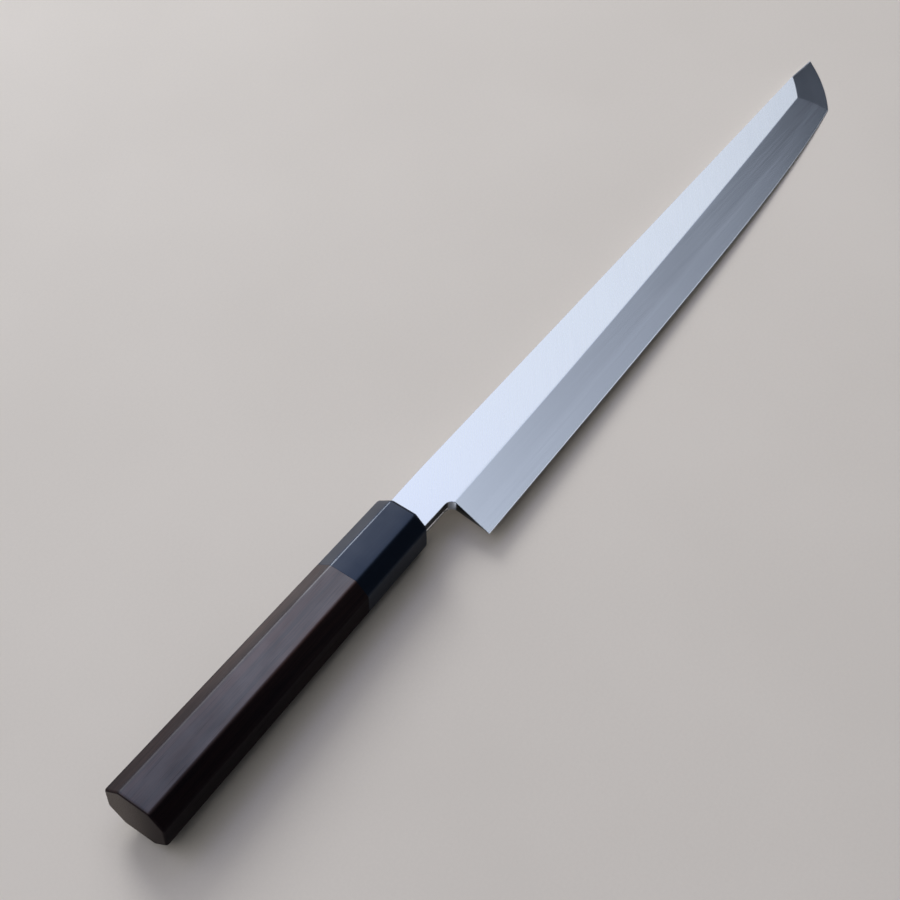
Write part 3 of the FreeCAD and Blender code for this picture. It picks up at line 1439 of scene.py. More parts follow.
@dataclass
class Patches:
    """The blade's patches and where they part.

    Attributes:
        flat: The flat, with the neck.
        bevel: The long bevel.
        tip: The tip bevel.
        weld: The bevels' row on the weld.
        steel: The flat's column where the steel starts.
        heel: The flat's column where the ridge starts.
    """

    flat: Sheet
    bevel: Sheet
    tip: Sheet
    weld: int
    steel: int
    heel: int

    def iron(self) -> Shell:
        """Closes the iron between the front and the weld.

        Returns:
            The shell, open at the mouth.
        """
        shell = Shell()
        flat = self.flat
        root = flat.cut(slice(None, self.steel + 1))
        over = flat.cut(slice(self.steel, None))
        soft = slice(None, self.weld + 1)
        bevel = self.bevel.cut(rows=soft)
        tip = self.tip.cut(rows=soft)
        shell.sheet(flat.plan, flat.front, BladeFace.FLAT, flat.values)
        shell.sheet(bevel.plan, bevel.front, BladeFace.BEVEL, bevel.values)
        shell.sheet(tip.plan, tip.front, BladeFace.BEVEL, tip.values)
        shell.sheet(root.plan, root.back, BladeFace.BACK, root.values)
        for patch in (over, bevel, tip):
            shell.sheet(patch.plan, patch.weld, BladeFace.WALL)
        shell.wall(root.plan[-1], root.weld[-1], root.back[-1])
        neck = slice(None, self.heel - self.steel + 1)
        for side, columns, finish in ((0, slice(None), BladeFace.SPINE), (-1, neck, BladeFace.WALL)):
            shell.wall(root.plan[:, side], root.front[:, side], root.weld[:, side], finish)
            shell.wall(root.plan[:, side], root.weld[:, side], root.back[:, side], finish)
            shell.wall(over.plan[columns, side], over.front[columns, side], over.weld[columns, side], finish)
        for patch, finish in ((bevel, BladeFace.WALL), (tip, BladeFace.SPINE)):
            shell.wall(patch.plan[0], patch.front[0], patch.weld[0], finish)
        return shell

    def hard_steel(self) -> Shell:
        """Closes the steel between the weld and the back.

        Returns:
            The closed shell.
        """
        shell = Shell()
        over = self.flat.cut(slice(self.steel, None))
        for patch, finish in ((self.bevel, BladeFace.WALL), (self.tip, BladeFace.SPINE)):
            hard = patch.cut(rows=slice(self.weld, None))
            soft = patch.cut(rows=slice(None, self.weld + 1))
            shell.sheet(hard.plan, hard.front, BladeFace.BEVEL, hard.values, crease=True)
            shell.sheet(soft.plan, soft.weld, BladeFace.WALL)
            shell.sheet(patch.plan, patch.back, BladeFace.BACK, patch.values)
            shell.wall(soft.plan[0], soft.weld[0], soft.back[0], finish)
            shell.wall(hard.plan[0], hard.front[0], hard.back[0], finish)
        shell.sheet(over.plan, over.weld, BladeFace.WALL)
        shell.sheet(over.plan, over.back, BladeFace.BACK, over.values)
        shell.wall(over.plan[0], over.weld[0], over.back[0])
        shell.wall(over.plan[:, 0], over.weld[:, 0], over.back[:, 0], BladeFace.SPINE)
        neck = slice(None, self.heel - self.steel + 1)
        shell.wall(over.plan[neck, -1], over.weld[neck, -1], over.back[neck, -1])
        return shell


@dataclass
class Layout:
    """The lines that the blade's patches are drawn between.

    Attributes:
        upper: X and Y along the spine, one point for each column of the flat.
        lower: The same along the neck's underside, the notch and the ridge.
        ridge: X and Y along the ridge.
        share: How far along the ridge each of these lies, from 0 to 1.
        meet: The angle on the notch's arc where the ridge starts.
        steel: The flat's column where the steel starts.
        heel: The flat's column where the ridge starts.
    """

    upper: np.ndarray
    lower: np.ndarray
    ridge: np.ndarray
    share: np.ndarray
    meet: float
    steel: int
    heel: int


@dataclass
class Rules:
    """A bevel of straight rules from its upper line down to its cutting edge.

    Attributes:
        plan: X and Y of its corners, as columns by rows by two.
        front: Z of its front.
        share: Its corners' share of the way along the rules.
        weld: Its row on the weld.
    """

    plan: np.ndarray
    front: np.ndarray
    share: np.ndarray
    weld: int


@dataclass
class Blade:
    """The single-bevel blade: soft iron with its tang, over hard steel with a hollow back."""

    length: float = 300.6
    neck_height: float = 16.7
    height: float = 35.5
    heel_distance: float = 16.2
    heel_lean: float = 1.3
    notch_radius: float = 3.0
    neck_taper: float = 0.45
    neck_taper_length: float = 28.0
    tip_setback: float = 22.6
    tip_depth: float = 22.0
    tip_bow: float = 1.6
    root_thickness: float = 5.0
    point_thickness: float = 2.2
    ridge_depth: float = 18.95
    ridge_end_depth: float = 8.5
    ridge_end_setback: float = 26.0
    ridge_bow: float = 1.25
    tip_flat_setback: float = 15.7
    tip_ridge_bow: float = 0.25
    tip_crease_bow: float = 0.75
    tip_crease_rise: float = 0.03
    edge_first_shares: Span = (0.60, 0.33)
    edge_second_shares: Span = (0.835, 0.46)
    steel_share: float = 0.32
    steel_start: float = 7.0
    hollow_depth: float = 0.35
    hollow_rim: float = 2.4
    hollow_heel_margin: float = 8.0
    hollow_tip_margin: float = 40.0
    hollow_fade: float = 30.0
    spine_ease: float = 0.04
    notch_ease: float = 0.15
    back_ease: float = 0.20
    ease_share: float = 0.3
    micro_bevel: float = 0.40
    edge_recess: float = 0.15
    mouth: float = 0.6
    tang_length: float = 92.0
    tang_root: Span = (9.0, 4.2)
    tang_end: Span = (5.0, 2.4)
    edge_rows: tuple[float, ...] = (0.0, 0.05, 0.12, 0.22, 0.35, 0.6)
    crease_rows: tuple[float, ...] = (0.0, 0.40, 0.65, 1.0, 1.5, 2.2)
    station_step: float = 2.0
    station_margin: float = 1.0
    heel_reach: float = 6.0
    tip_reach: float = 30.0
    edge_samples: int = 2001
    notch_samples: int = 400
    root_columns: int = 7
    neck_columns: int = 8
    arc_columns: int = 14
    heel_points: int = 12
    flat_rows: int = 8
    iron_rows: int = 9
    steel_rows: int = 4

    @property
    def spine_y(self) -> float:
        """Y of the spine. The neck's underside lies as far below the axis."""
        return self.neck_height * HALF

    @property
    def back_z(self) -> float:
        """Z of the flat back."""
        return -self.root_thickness * HALF

    @property
    def ridge_end_x(self) -> float:
        """X where the ridge meets the tip bevel."""
        return self.length - self.ridge_end_setback

    def thickness(self, x: np.ndarray) -> np.ndarray:
        """How thick the blade is behind the ridge at x."""
        return self.root_thickness + (self.point_thickness - self.root_thickness) * x / self.length

    def spine_line(self, x: np.ndarray) -> np.ndarray:
        """Y of the spine at x, which sinks a little towards the ferrule."""
        return self.spine_y - self.neck_taper * nearness(x, self.neck_taper_length)

    def ridge_y(self, x: np.ndarray) -> np.ndarray:
        """Y of the ridge between flat and bevel at x.

        Args:
            x: Places along the blade.

        Returns:
            The ridge's Y there.
        """
        share = x / self.ridge_end_x
        depth = self.ridge_depth + (self.ridge_end_depth - self.ridge_depth) * share
        return self.spine_y - depth - self.ridge_bow * arch(share)

    def edge_y(self, x: np.ndarray) -> np.ndarray:
        """Y of the cutting edge at x.

        Args:
            x: Places along the blade.

        Returns:
            The edge's Y there.
        """
        run = self.length - self.tip_setback
        rise = self.height - self.tip_depth
        u = np.linspace(0.0, 1.0, self.edge_samples)[:, None]
        first, second = (np.array(shares) for shares in (self.edge_first_shares, self.edge_second_shares))
        curve = 3 * u * (1 - u) ** 2 * first + 3 * u**2 * (1 - u) * second + u**3
        return np.interp(x, curve[:, 0] * run, curve[:, 1] * rise) + self.spine_y - self.height

    def tip_edge(self, share: np.ndarray) -> np.ndarray:
        """Points on the tip's cutting edge.

        Args:
            share: How far each lies from the point to the lower corner.

        Returns:
            X and Y of the points.
        """
        point = np.array([self.length, self.spine_y])
        chord = np.array([-self.tip_setback, -self.tip_depth])
        bow = self.tip_bow * arch(share)
        return point + chord * share[:, None] + square_to(chord) * bow[:, None]

    def notch(self) -> tuple[np.ndarray, np.ndarray, float, float]:
        """The rounded inner corner between neck and heel.

        Returns:
            Its centre, the heel's direction downwards, and its first and last angle.
        """
        corner = np.array([self.heel_distance, -self.spine_y])
        back = np.array([-1.0, 0.0])
        slope = self.heel_lean / (self.height - self.neck_height)
        down = np.array([-slope, -1.0]) / math.hypot(slope, 1.0)
        angle = math.acos(float(back @ down))
        middle = (back + down) / np.linalg.norm(back + down)
        centre = corner + middle * self.notch_radius / math.sin(angle * HALF)
        return centre, down, math.pi * HALF, math.atan2(down[0], -down[1])

    def notch_points(self, angles: np.ndarray) -> np.ndarray:
        """Points on the notch's arc."""
        return self.notch()[0] + self.notch_radius * np.stack([np.cos(angles), np.sin(angles)], axis=-1)

    def notch_gap(self, plan: np.ndarray) -> np.ndarray:
        """How far each point of the plan lies inside the neck's underside, the notch and the heel.

        Args:
            plan: X and Y of the points.

        Returns:
            The distances.
        """
        centre, down, _, _ = self.notch()
        from_centre = plan - centre
        under_neck = plan[..., 1] + self.spine_y
        behind_heel = from_centre @ square_to(down) - self.notch_radius
        round_corner = np.linalg.norm(from_centre, axis=-1) - self.notch_radius
        past_neck = from_centre[..., 0] > 0.0
        past_arc = from_centre @ down > 0.0
        return np.where(past_neck, np.where(past_arc, behind_heel, round_corner), under_neck)

    @staticmethod
    def eased(gap: np.ndarray, radius: np.ndarray) -> np.ndarray:
        """How far an edge of a given radius has fallen at a distance from it."""
        inside = np.clip(radius - gap, 0.0, radius)
        return radius - np.sqrt(np.maximum(radius**2 - inside**2, 0.0))

    def hollow_share(self, plan: np.ndarray) -> np.ndarray:
        """The hollow's depth at each point of the plan, as a share of its full depth.

        Args:
            plan: X and Y of the points.

        Returns:
            The shares.
        """
        x = plan[..., 0]
        start = self.heel_distance + self.hollow_heel_margin
        end = self.length - self.hollow_tip_margin
        low = self.edge_y(x) + self.hollow_rim
        high = self.spine_y - self.hollow_rim
        bowl = np.clip(arch((plan[..., 1] - low) / (high - low)), 0.0, 1.0)
        ends = np.clip((x - start) / self.hollow_fade, 0, 1) * np.clip((end - x) / self.hollow_fade, 0, 1)
        return bowl * np.sqrt(ends)

    def sheet_over(self, plan: np.ndarray, front: np.ndarray, share: np.ndarray) -> Sheet:
        """Adds eased edges, the weld and the hollow back to a patch.

        Args:
            plan: X and Y of its corners.
            front: Z of its front before edges are eased.
            share: Its corners' share of the way from the ridge to the cutting edge.

        Returns:
            The finished patch.
        """
        x = plan[..., 0]
        weld = self.back_z + self.thickness(x) * self.steel_share
        spine_gap = self.spine_line(x) - plan[..., 1]
        notch_gap = self.notch_gap(plan)
        room = self.ease_share * np.minimum(np.abs(front - weld), front - self.back_z)
        fall = self.eased(spine_gap, np.minimum(self.spine_ease, room))
        fall = np.maximum(fall, self.eased(notch_gap, np.minimum(self.notch_ease, room)))
        back_room = np.minimum(self.back_ease, self.ease_share * (front - self.back_z))
        rise = np.maximum(self.eased(spine_gap, back_room), self.eased(notch_gap, back_room))
        hollow = self.hollow_share(plan)
        values = {GAP_NAME: spine_gap, BEVEL_NAME: share, HOLLOW_NAME: hollow}
        return Sheet(plan, front - fall, weld, self.back_z + rise + hollow * self.hollow_depth, values)

    def layout(self, droop: float) -> Layout:
        """Lays out the columns from the mouth past the notch to the tip.

        Args:
            droop: The angle from the handle's axis to the blade's.

        Returns:
            The lines and where they part.
        """
        _, _, first, last = self.notch()
        angles = np.linspace(first, last, self.notch_samples)
        points = self.notch_points(angles)
        meet = float(np.interp(0.0, self.ridge_y(points[:, 0]) - points[:, 1], angles))
        arc = self.notch_points(np.linspace(first, meet, self.arc_columns))
        start_x = float(arc[-1, 0])
        root = np.linspace(self.mouth, self.steel_start, self.root_columns)
        neck = np.linspace(self.steel_start, arc[0, 0], self.neck_columns)
        straight = np.concatenate([root, neck[1:-1]])

        last_columns = self.ridge_end_x - np.array(self.crease_rows)[::-1]
        count = int((self.ridge_end_x - start_x) / self.station_step)
        middle = np.linspace(start_x + self.station_margin, last_columns[0] - self.station_margin, count)
        ridge_x = np.concatenate([start_x + np.array(self.edge_rows), middle, last_columns])
        ridge = np.stack([ridge_x, self.ridge_y(ridge_x)], axis=1)
        ridge[0] = arc[-1]
        share = (ridge_x - start_x) / (self.ridge_end_x - start_x)

        spine_x = start_x + share * (self.length - self.tip_flat_setback - start_x)
        upper_x = np.concatenate([straight, arc[:, 0], spine_x[1:]])
        under_neck = np.stack([straight, np.full(len(straight), -self.spine_y)], axis=1)
        lower = np.concatenate([under_neck, arc, ridge[1:]])
        lean = self.spine_y * math.tan(droop)
        upper_x[0] -= lean
        lower[0, 0] += lean
        upper = np.stack([upper_x, self.spine_line(upper_x)], axis=1)
        return Layout(upper, lower, ridge, share, meet, len(root) - 1, len(straight) + len(arc) - 1)

    def flat_sheet(self, lines: Layout) -> Sheet:
        """The flat, with rows closer near the spine and the lower line.

        Args:
            lines: The blade's lines.

        Returns:
            The patch.
        """
        near = np.array(self.edge_rows)
        columns = []
        for top, bottom in zip(lines.upper, lines.lower):
            line = bottom - top
            length = float(np.linalg.norm(line))
            crease = float(np.clip((bottom[0] - lines.ridge[0, 0]) / self.heel_reach, 0.0, 1.0))
            low = near + (np.array(self.crease_rows) - near) * crease
            inner = np.linspace(self.hollow_rim, length - low[-1], self.flat_rows)
            part = np.concatenate([near, inner, (length - low[::-1])[1:]]) / length
            bow = self.tip_ridge_bow * nearness(self.ridge_end_x - bottom[0], self.tip_reach) * arch(part)
            columns.append(top + line * part[:, None] + square_to(line) * bow[:, None])
        plan = np.array(columns)
        front = self.back_z + self.thickness(plan[..., 0])
        return self.sheet_over(plan, front, np.zeros(front.shape))

    def bevel_rows(self, length: float, weld: float) -> tuple[np.ndarray, int]:
        """Distances of a bevel's rows from the ridge.

        Args:
            length: From the ridge to the cutting edge.
            weld: From the ridge to the weld.

        Returns:
            The distances, and the row that lies on the weld.
        """
        near = np.array(self.crease_rows)
        upper = np.concatenate([near, np.linspace(near[-1], weld, self.iron_rows)[1:]])
        rim = length - self.hollow_rim
        above_rim = np.linspace(weld, rim, self.steel_rows)[1:]
        below_rim = np.linspace(rim, length - self.edge_rows[-1], self.steel_rows)[1:]
        edge = [length - self.micro_bevel, length - self.edge_recess]
        return np.concatenate([upper, above_rim, below_rim, edge]), len(upper) - 1

    def ruled(self, starts: np.ndarray, ends: np.ndarray) -> Rules:
        """A bevel of straight rules.

        Args:
            starts: X and Y along its upper line.
            ends: X and Y along its cutting edge.

        Returns:
            The rules.
        """
        plans, fronts, shares = [], [], []
        weld_row = 0
        for start, end in zip(starts, ends):
            length = float(np.linalg.norm(end - start))
            upper = (1.0 - self.steel_share) * self.thickness(start[0])
            weld = length * upper / (upper + self.steel_share * self.thickness(end[0]))
            rows, weld_row = self.bevel_rows(length, weld)
            share = rows / length
            plans.append(start + (end - start) * share[:, None])
            fronts.append(self.back_z + self.thickness(start[0]) * (1.0 - share))
            shares.append(share)
        front = np.array(fronts)
        front[:, -1] = self.back_z
        return Rules(np.array(plans), front, np.array(shares), weld_row)

    def bevelled(self, rules: Rules, sway: np.ndarray, depth: float) -> Sheet:
        """Bows a bevel towards the point at the tip's crease and brings it to its cutting edge.

        Args:
            rules: The bevel's rules.
            sway: How much of the bow each column takes.
            depth: About how long the rules are.

        Returns:
            The patch.
        """
        crease = np.array([self.ridge_end_setback - self.tip_setback, self.ridge_end_depth - self.tip_depth])
        bow = sway[:, None] * arch(rules.share)
        plan = rules.plan + (bow * self.tip_crease_bow)[..., None] * square_to(crease)
        sheet = self.sheet_over(plan, rules.front + bow * self.tip_crease_rise, rules.share)
        edge_gap = np.abs(1.0 - rules.share) * depth
        sheet.values[GAP_NAME] = np.minimum(sheet.values[GAP_NAME], edge_gap)
        sheet.weld[:, rules.weld] = sheet.front[:, rules.weld]
        sheet.front[:, -1] = self.back_z
        sheet.back[:, -1] = self.back_z
        return sheet

    def bevel_sheet(self, lines: Layout) -> tuple[Sheet, int]:
        """The long bevel, whose first column follows the notch and the heel.

        Args:
            lines: The blade's lines.

        Returns:
            The patch, and its row on the weld.
        """
        heel_x = self.heel_distance - self.heel_lean
        edge_x = heel_x + lines.share * (self.length - self.tip_setback - heel_x)
        edge = np.stack([edge_x, self.edge_y(edge_x)], axis=1)
        rules = self.ruled(lines.ridge, edge)
        angles = np.linspace(lines.meet, self.notch()[3], self.heel_points)
        heel_line = np.concatenate([self.notch_points(angles), edge[:1]])
        way = travelled(heel_line)
        heel = np.stack([np.interp(rules.share[0], way, heel_line[:, axis]) for axis in (0, 1)], axis=1)
        ridge_x = lines.ridge[:, 0]
        pull = nearness(ridge_x - ridge_x[0], self.heel_reach)
        rules.plan = rules.plan + pull[:, None, None] * (heel - rules.plan[0])
        sway = nearness(self.ridge_end_x - ridge_x, self.tip_reach)
        return self.bevelled(rules, sway, self.height * HALF), rules.weld

    def tip_sheet(self, start: np.ndarray) -> Sheet:
        """The tip bevel.

        Args:
            start: X and Y down the flat's last column.

        Returns:
            The patch.
        """
        way = travelled(start)
        rules = self.ruled(start, self.tip_edge(way))
        return self.bevelled(rules, nearness(1.0 - way, HALF), self.tip_depth)

    def add_tang(self, shell: Shell, flat: Sheet, droop: float) -> None:
        """Closes the iron's mouth with its shoulders and the tapered tang.

        Args:
            shell: The iron's shell.
            flat: The flat's patch, whose first column is the mouth.
            droop: The angle from the handle's axis to the blade's.
        """
        cosine, sine = math.cos(droop), math.sin(droop)
        turn = np.array([[cosine, -sine, 0.0], [sine, cosine, 0.0], [0.0, 0.0, 1.0]])
        signs = ((HALF, HALF), (HALF, -HALF), (-HALF, -HALF), (-HALF, HALF))
        root, end = (
            [shell.corner(turn @ (x, y * size[0], z * size[1]), {}) for y, z in signs]
            for x, size in ((self.mouth, self.tang_root), (-self.tang_length, self.tang_end))
        )
        top, mid, low = (
            [shell.corner(np.append(place, z), {}) for place, z in zip(flat.plan[0], heights)]
            for heights in (flat.front[0], flat.weld[0], flat.back[0])
        )
        shell.face([*top, root[3], root[0]], BladeFace.WALL)
        shell.face([*low, root[2], root[1]], BladeFace.WALL)
        shell.face([top[0], mid[0], low[0], root[1], root[0]], BladeFace.WALL)
        shell.face([top[-1], mid[-1], low[-1], root[2], root[3]], BladeFace.WALL)
        for i in range(len(root)):
            shell.face([root[i - 1], root[i], end[i], end[i - 1]], BladeFace.WALL)
        shell.face(end, BladeFace.WALL)

    @staticmethod
    def dress(shop: Workshop) -> list[bpy.types.Material]:
        """The blade's materials.

        Args:
            shop: The shared effects.

        Returns:
            One material for each face, in their order.
        """
        finishes = {
            BladeFace.FLAT: FlatSatin(),
            BladeFace.BEVEL: BevelHaze(),
            BladeFace.WALL: PolishedWall(),
            BladeFace.BACK: BackGrind(),
            BladeFace.SPINE: PolishedWall("polished_spine", (0.46, 0.475, 0.50), (0.60, 0.615, 0.64)),
        }
        return [finishes[face].material(shop) for face in BladeFace]

    def build(self, shop: Workshop) -> list[bpy.types.Object]:
        """Builds the iron and the steel.

        Args:
            shop: The knife's axes and the shared effects.

        Returns:
            The iron's and the steel's objects.
        """
        droop = shop.frame.droop
        lines = self.layout(droop)
        flat = self.flat_sheet(lines)
        bevel, weld = self.bevel_sheet(lines)
        tip = self.tip_sheet(flat.plan[-1])
        tip.front[-1] = bevel.front[-1]
        patches = Patches(flat, bevel, tip, weld, lines.steel, lines.heel)
        iron = patches.iron()
        self.add_tang(iron, flat, droop)
        shells = {"blade_iron": iron, "blade_steel": patches.hard_steel()}
        materials = self.dress(shop)
        return [shell.piece(name, shop.frame.blade, materials) for name, shell in shells.items()]


@dataclass
class Handle:
    """The octagonal handle: a horn ferrule and a wooden body of one tapering section."""

    length: float = 143.4
    ferrule_length: float = 35.4
    mouth_height: float = 21.6
    mouth_thickness: float = 19.6
    butt_height: float = 25.4
    butt_thickness: float = 21.0
    mouth_bevel_height: float = 5.5
    mouth_bevel_thickness: float = 4.9
    butt_bevel_share: float = 1.12
    mouth_round: float = 1.9
    butt_round: float = 1.2
    joint_round: float = 0.06
    arris_radius: float = 1.7
    facet_shift: float = -0.50
    butt_trim: float = 0.02
    core_diameter: float = 13.0
    core_length: float = 98.0
    mouth_wall: float = 4.0
    glue_line: float = 0.1
    slot_height: float = 10.4
    slot_thickness: float = 5.6

    def section(self, x: np.ndarray) -> tuple[np.ndarray, ...]:
        """Half sizes and bevel legs of the octagon at x.

        Args:
            x: Places along the handle.

        Returns:
            Half height, half thickness, and the bevel's legs along the height and the thickness.
        """
        share = -x / self.length
        half_height = (self.mouth_height + (self.butt_height - self.mouth_height) * share) * HALF
        half_thickness = (self.mouth_thickness + (self.butt_thickness - self.mouth_thickness) * share) * HALF
        growth = 1.0 + (self.butt_bevel_share - 1.0) * share
        legs = (self.mouth_bevel_height * growth, self.mouth_bevel_thickness * growth)
        return half_height, half_thickness, *legs

    def arris_gaps(self, points: np.ndarray, front: float, rear: float) -> np.ndarray:
        """How far each point of the surface lies from the nearest edge of the octagon.

        Args:
            points: The points, in the handle's axes.
            front: X of the piece's front face, or infinity where it meets another piece.
            rear: X of its rear face, or minus infinity.

        Returns:
            The distances.
        """
        half_height, half_thickness, leg_y, leg_z = self.section(points[:, 0])
        even_y = points[:, 1] - self.facet_shift
        lean = self.facet_shift / leg_y
        on_bevel = (points[:, 1] - lean * half_height) / (1.0 - lean * np.sign(even_y))
        even_y = np.where(np.abs(even_y) > half_height - leg_y, on_bevel, even_y)
        side = half_height - np.abs(even_y)
        top = half_thickness - np.abs(points[:, 2])
        bevel = (side * leg_z + top * leg_y - leg_y * leg_z) / np.hypot(leg_y, leg_z)
        ends = [front - points[:, 0], points[:, 0] - rear]
        return np.sort(np.stack([side, top, bevel, *ends]), axis=0)[1]

    def build(self, shop: Workshop) -> list[bpy.types.Object]:
        """Builds and dresses the ferrule and the handle's body.

        Args:
            shop: The knife's axes and the shared effects.

        Returns:
            The ferrule's and the body's objects.
        """
        bar = OctagonBar(self)
        joint = -self.ferrule_length
        butt = self.butt_trim - self.length
        horn = BlackHorn().material(shop)
        wood = DarkWood().material(shop)
        ferrule = bar.piece("ferrule_horn", (0.0, joint), (self.mouth_round, self.joint_round), horn)
        body = bar.piece("handle_wood", (joint, butt), (self.joint_round, self.butt_round), wood)
        for made, front, rear in ((ferrule, 0.0, -math.inf), (body, math.inf, butt)):
            points = np.zeros(len(made.data.vertices) * 3)
            made.data.vertices.foreach_get("co", points)
            gaps = self.arris_gaps(points.reshape(-1, 3), front, rear)
            attribute = made.data.attributes.new(GAP_NAME, "FLOAT", "POINT")
            attribute.data.foreach_set("value", gaps.astype(np.float32))
            made.data.transform(shop.frame.handle)
        return [ferrule, body]


class OctagonBar:
    """A Geometry Nodes tree that draws a stretch of the tapering octagonal bar, bored for its core."""

    sides = 8
    end_rings = 4
    round_rings = 7
    middle_rings = 22
    end_inset = 5.0
    fillet_steps = 5
    flat_cuts = 3
    bore_sides = 96

    def __init__(self, handle: Handle) -> None:
        """Builds the tree.

        Args:
            handle: The handle, whose sizes become inputs of the tree.
        """
        self.tree = bpy.data.node_groups.new("octagon_bar", "GeometryNodeTree")
        self.given: dict[str, str] = {}
        self.tree.interface.new_socket("Geometry", in_out="INPUT", socket_type="NodeSocketGeometry")
        stretch = {"front": 0.0, "rear": -handle.length, "front_round": 0.0, "rear_round": 0.0}
        for name, value in (stretch | asdict(handle)).items():
            socket = self.tree.interface.new_socket(name, in_out="INPUT", socket_type="NodeSocketFloat")
            socket.default_value = value
            self.given[name] = socket.identifier
        finish = self.tree.interface.new_socket("finish", in_out="INPUT", socket_type="NodeSocketMaterial")
        self.given["finish"] = finish.identifier
        self.tree.interface.new_socket("Geometry", in_out="OUTPUT", socket_type="NodeSocketGeometry")
        self.draw(Graph(self.tree))

    def draw(self, graph: Graph) -> None:
        """Adds the tree's nodes.

        Args:
            graph: The tree.
        """
        entry = graph.node("NodeGroupInput")
        size = {name: Field(graph, entry.outputs[name]) for name in self.given}
        bar = self.swept(graph, size)
        depth = size["core_length"] + size["glue_line"]
        radius = size["core_diameter"] * HALF + size["glue_line"]
        bore_middle = size["mouth_wall"] * -1.0 - depth * HALF
        cylinder = {"Vertices": self.bore_sides, "Radius": radius, "Depth": depth}
        placing = {
            "Geometry": graph.field("GeometryNodeMeshCylinder", "Mesh", cylinder),
            "Translation": graph.vector(bore_middle, 0.0, 0.0),
            "Rotation": (0.0, math.pi * HALF, 0.0),
        }
        bore = graph.field("GeometryNodeTransform", "Geometry", placing)
        slot_size = graph.vector(size["mouth_wall"] * 2.0, size["slot_height"], size["slot_thickness"])
        slot = graph.field("GeometryNodeMeshCube", "Mesh", {"Size": slot_size})
        cut = graph.node("GeometryNodeMeshBoolean", {"Mesh 1": bar}, operation="DIFFERENCE", solver="EXACT")
        for cutter in (bore, slot):
            graph.feed(cut.inputs["Mesh 2"], cutter)
        whole = graph.field("GeometryNodeRealizeInstances", "Geometry", {"Geometry": cut.outputs["Mesh"]})
        finish = {"Geometry": whole, "Material": size["finish"]}
        dressed = graph.field("GeometryNodeSetMaterial", "Geometry", finish)
        graph.node("NodeGroupOutput", {"Geometry": dressed})

    def profile(self, graph: Graph, size: dict[str, Field]) -> Field:
        """The octagon at the mouth, with rounded corners.

        Args:
            graph: The tree.
            size: The tree's inputs.

        Returns:
            The profile curve.
        """
        circle = graph.field("GeometryNodeCurvePrimitiveCircle", "Curve", {"Resolution": self.sides})
        number = graph.field("GeometryNodeInputIndex", "Index")
        turn = number * (math.tau / self.sides) + math.pi / self.sides
        cosine = graph.math("COSINE", turn)
        sine = graph.math("SINE", turn)
        on_side = graph.math("GREATER_THAN", abs(cosine), abs(sine))
        half_height = size["mouth_height"] * HALF
        half_thickness = size["mouth_thickness"] * HALF
        y = half_height - size["mouth_bevel_height"] * (1.0 - on_side)
        z = half_thickness - size["mouth_bevel_thickness"] * on_side
        corner = graph.vector(y * graph.math("SIGN", cosine), z * graph.math("SIGN", sine), 0.0)
        octagon = graph.field("GeometryNodeSetPosition", "Geometry", {"Geometry": circle, "Position": corner})
        rounding = {"Curve": octagon, "Count": self.fillet_steps, "Radius": size["arris_radius"]}
        rounded = graph.field("GeometryNodeFilletCurve", "Curve", rounding, mode="POLY")
        return graph.field("GeometryNodeSubdivideCurve", "Curve", {"Curve": rounded, "Cuts": self.flat_cuts})

    def swept(self, graph: Graph, size: dict[str, Field]) -> Field:
        """The closed bar: the profile carried through numbered rings, then tapered and rounded at its ends.

        Args:
            graph: The tree.
            size: The tree's inputs.

        Returns:
            The bar's mesh.
        """
        last = 2 * (self.end_rings + self.round_rings) + self.middle_rings
        line = graph.field("GeometryNodeCurvePrimitiveLine", "Curve", {"End": (float(last), 0.0, 0.0)})
        rings = graph.field("GeometryNodeResampleCurve", "Curve", {"Curve": line, "Count": last + 1})
        sweep = {"Curve": rings, "Profile Curve": self.profile(graph, size), "Fill Caps": True}
        tube = graph.field("GeometryNodeCurveToMesh", "Mesh", sweep)
        ring, drawn_y, drawn_z = graph.parts(graph.field("GeometryNodeInputPosition", "Position"))
        before = self.end_rings + self.round_rings
        share = graph.least(graph.most((ring - before) / self.middle_rings, 0.0), 1.0)
        first = size["rear"] + size["rear_round"]
        x = first + share * (size["front"] - size["front_round"] - first)
        inset = 0.0
        ends = ((ring, size["rear_round"], -1.0), (last - ring, size["front_round"], 1.0))
        for from_end, rounding, side in ends:
            round_ring = graph.most(graph.least(from_end - self.end_rings, self.round_rings), 0.0)
            turn = round_ring * (math.pi * HALF / self.round_rings)
            x = x + rounding * graph.math("COSINE", turn) * side
            inset = inset + rounding * (1.0 - graph.math("SINE", turn))
            inset = inset + graph.most(self.end_rings - from_end, 0.0) * (self.end_inset / self.end_rings)

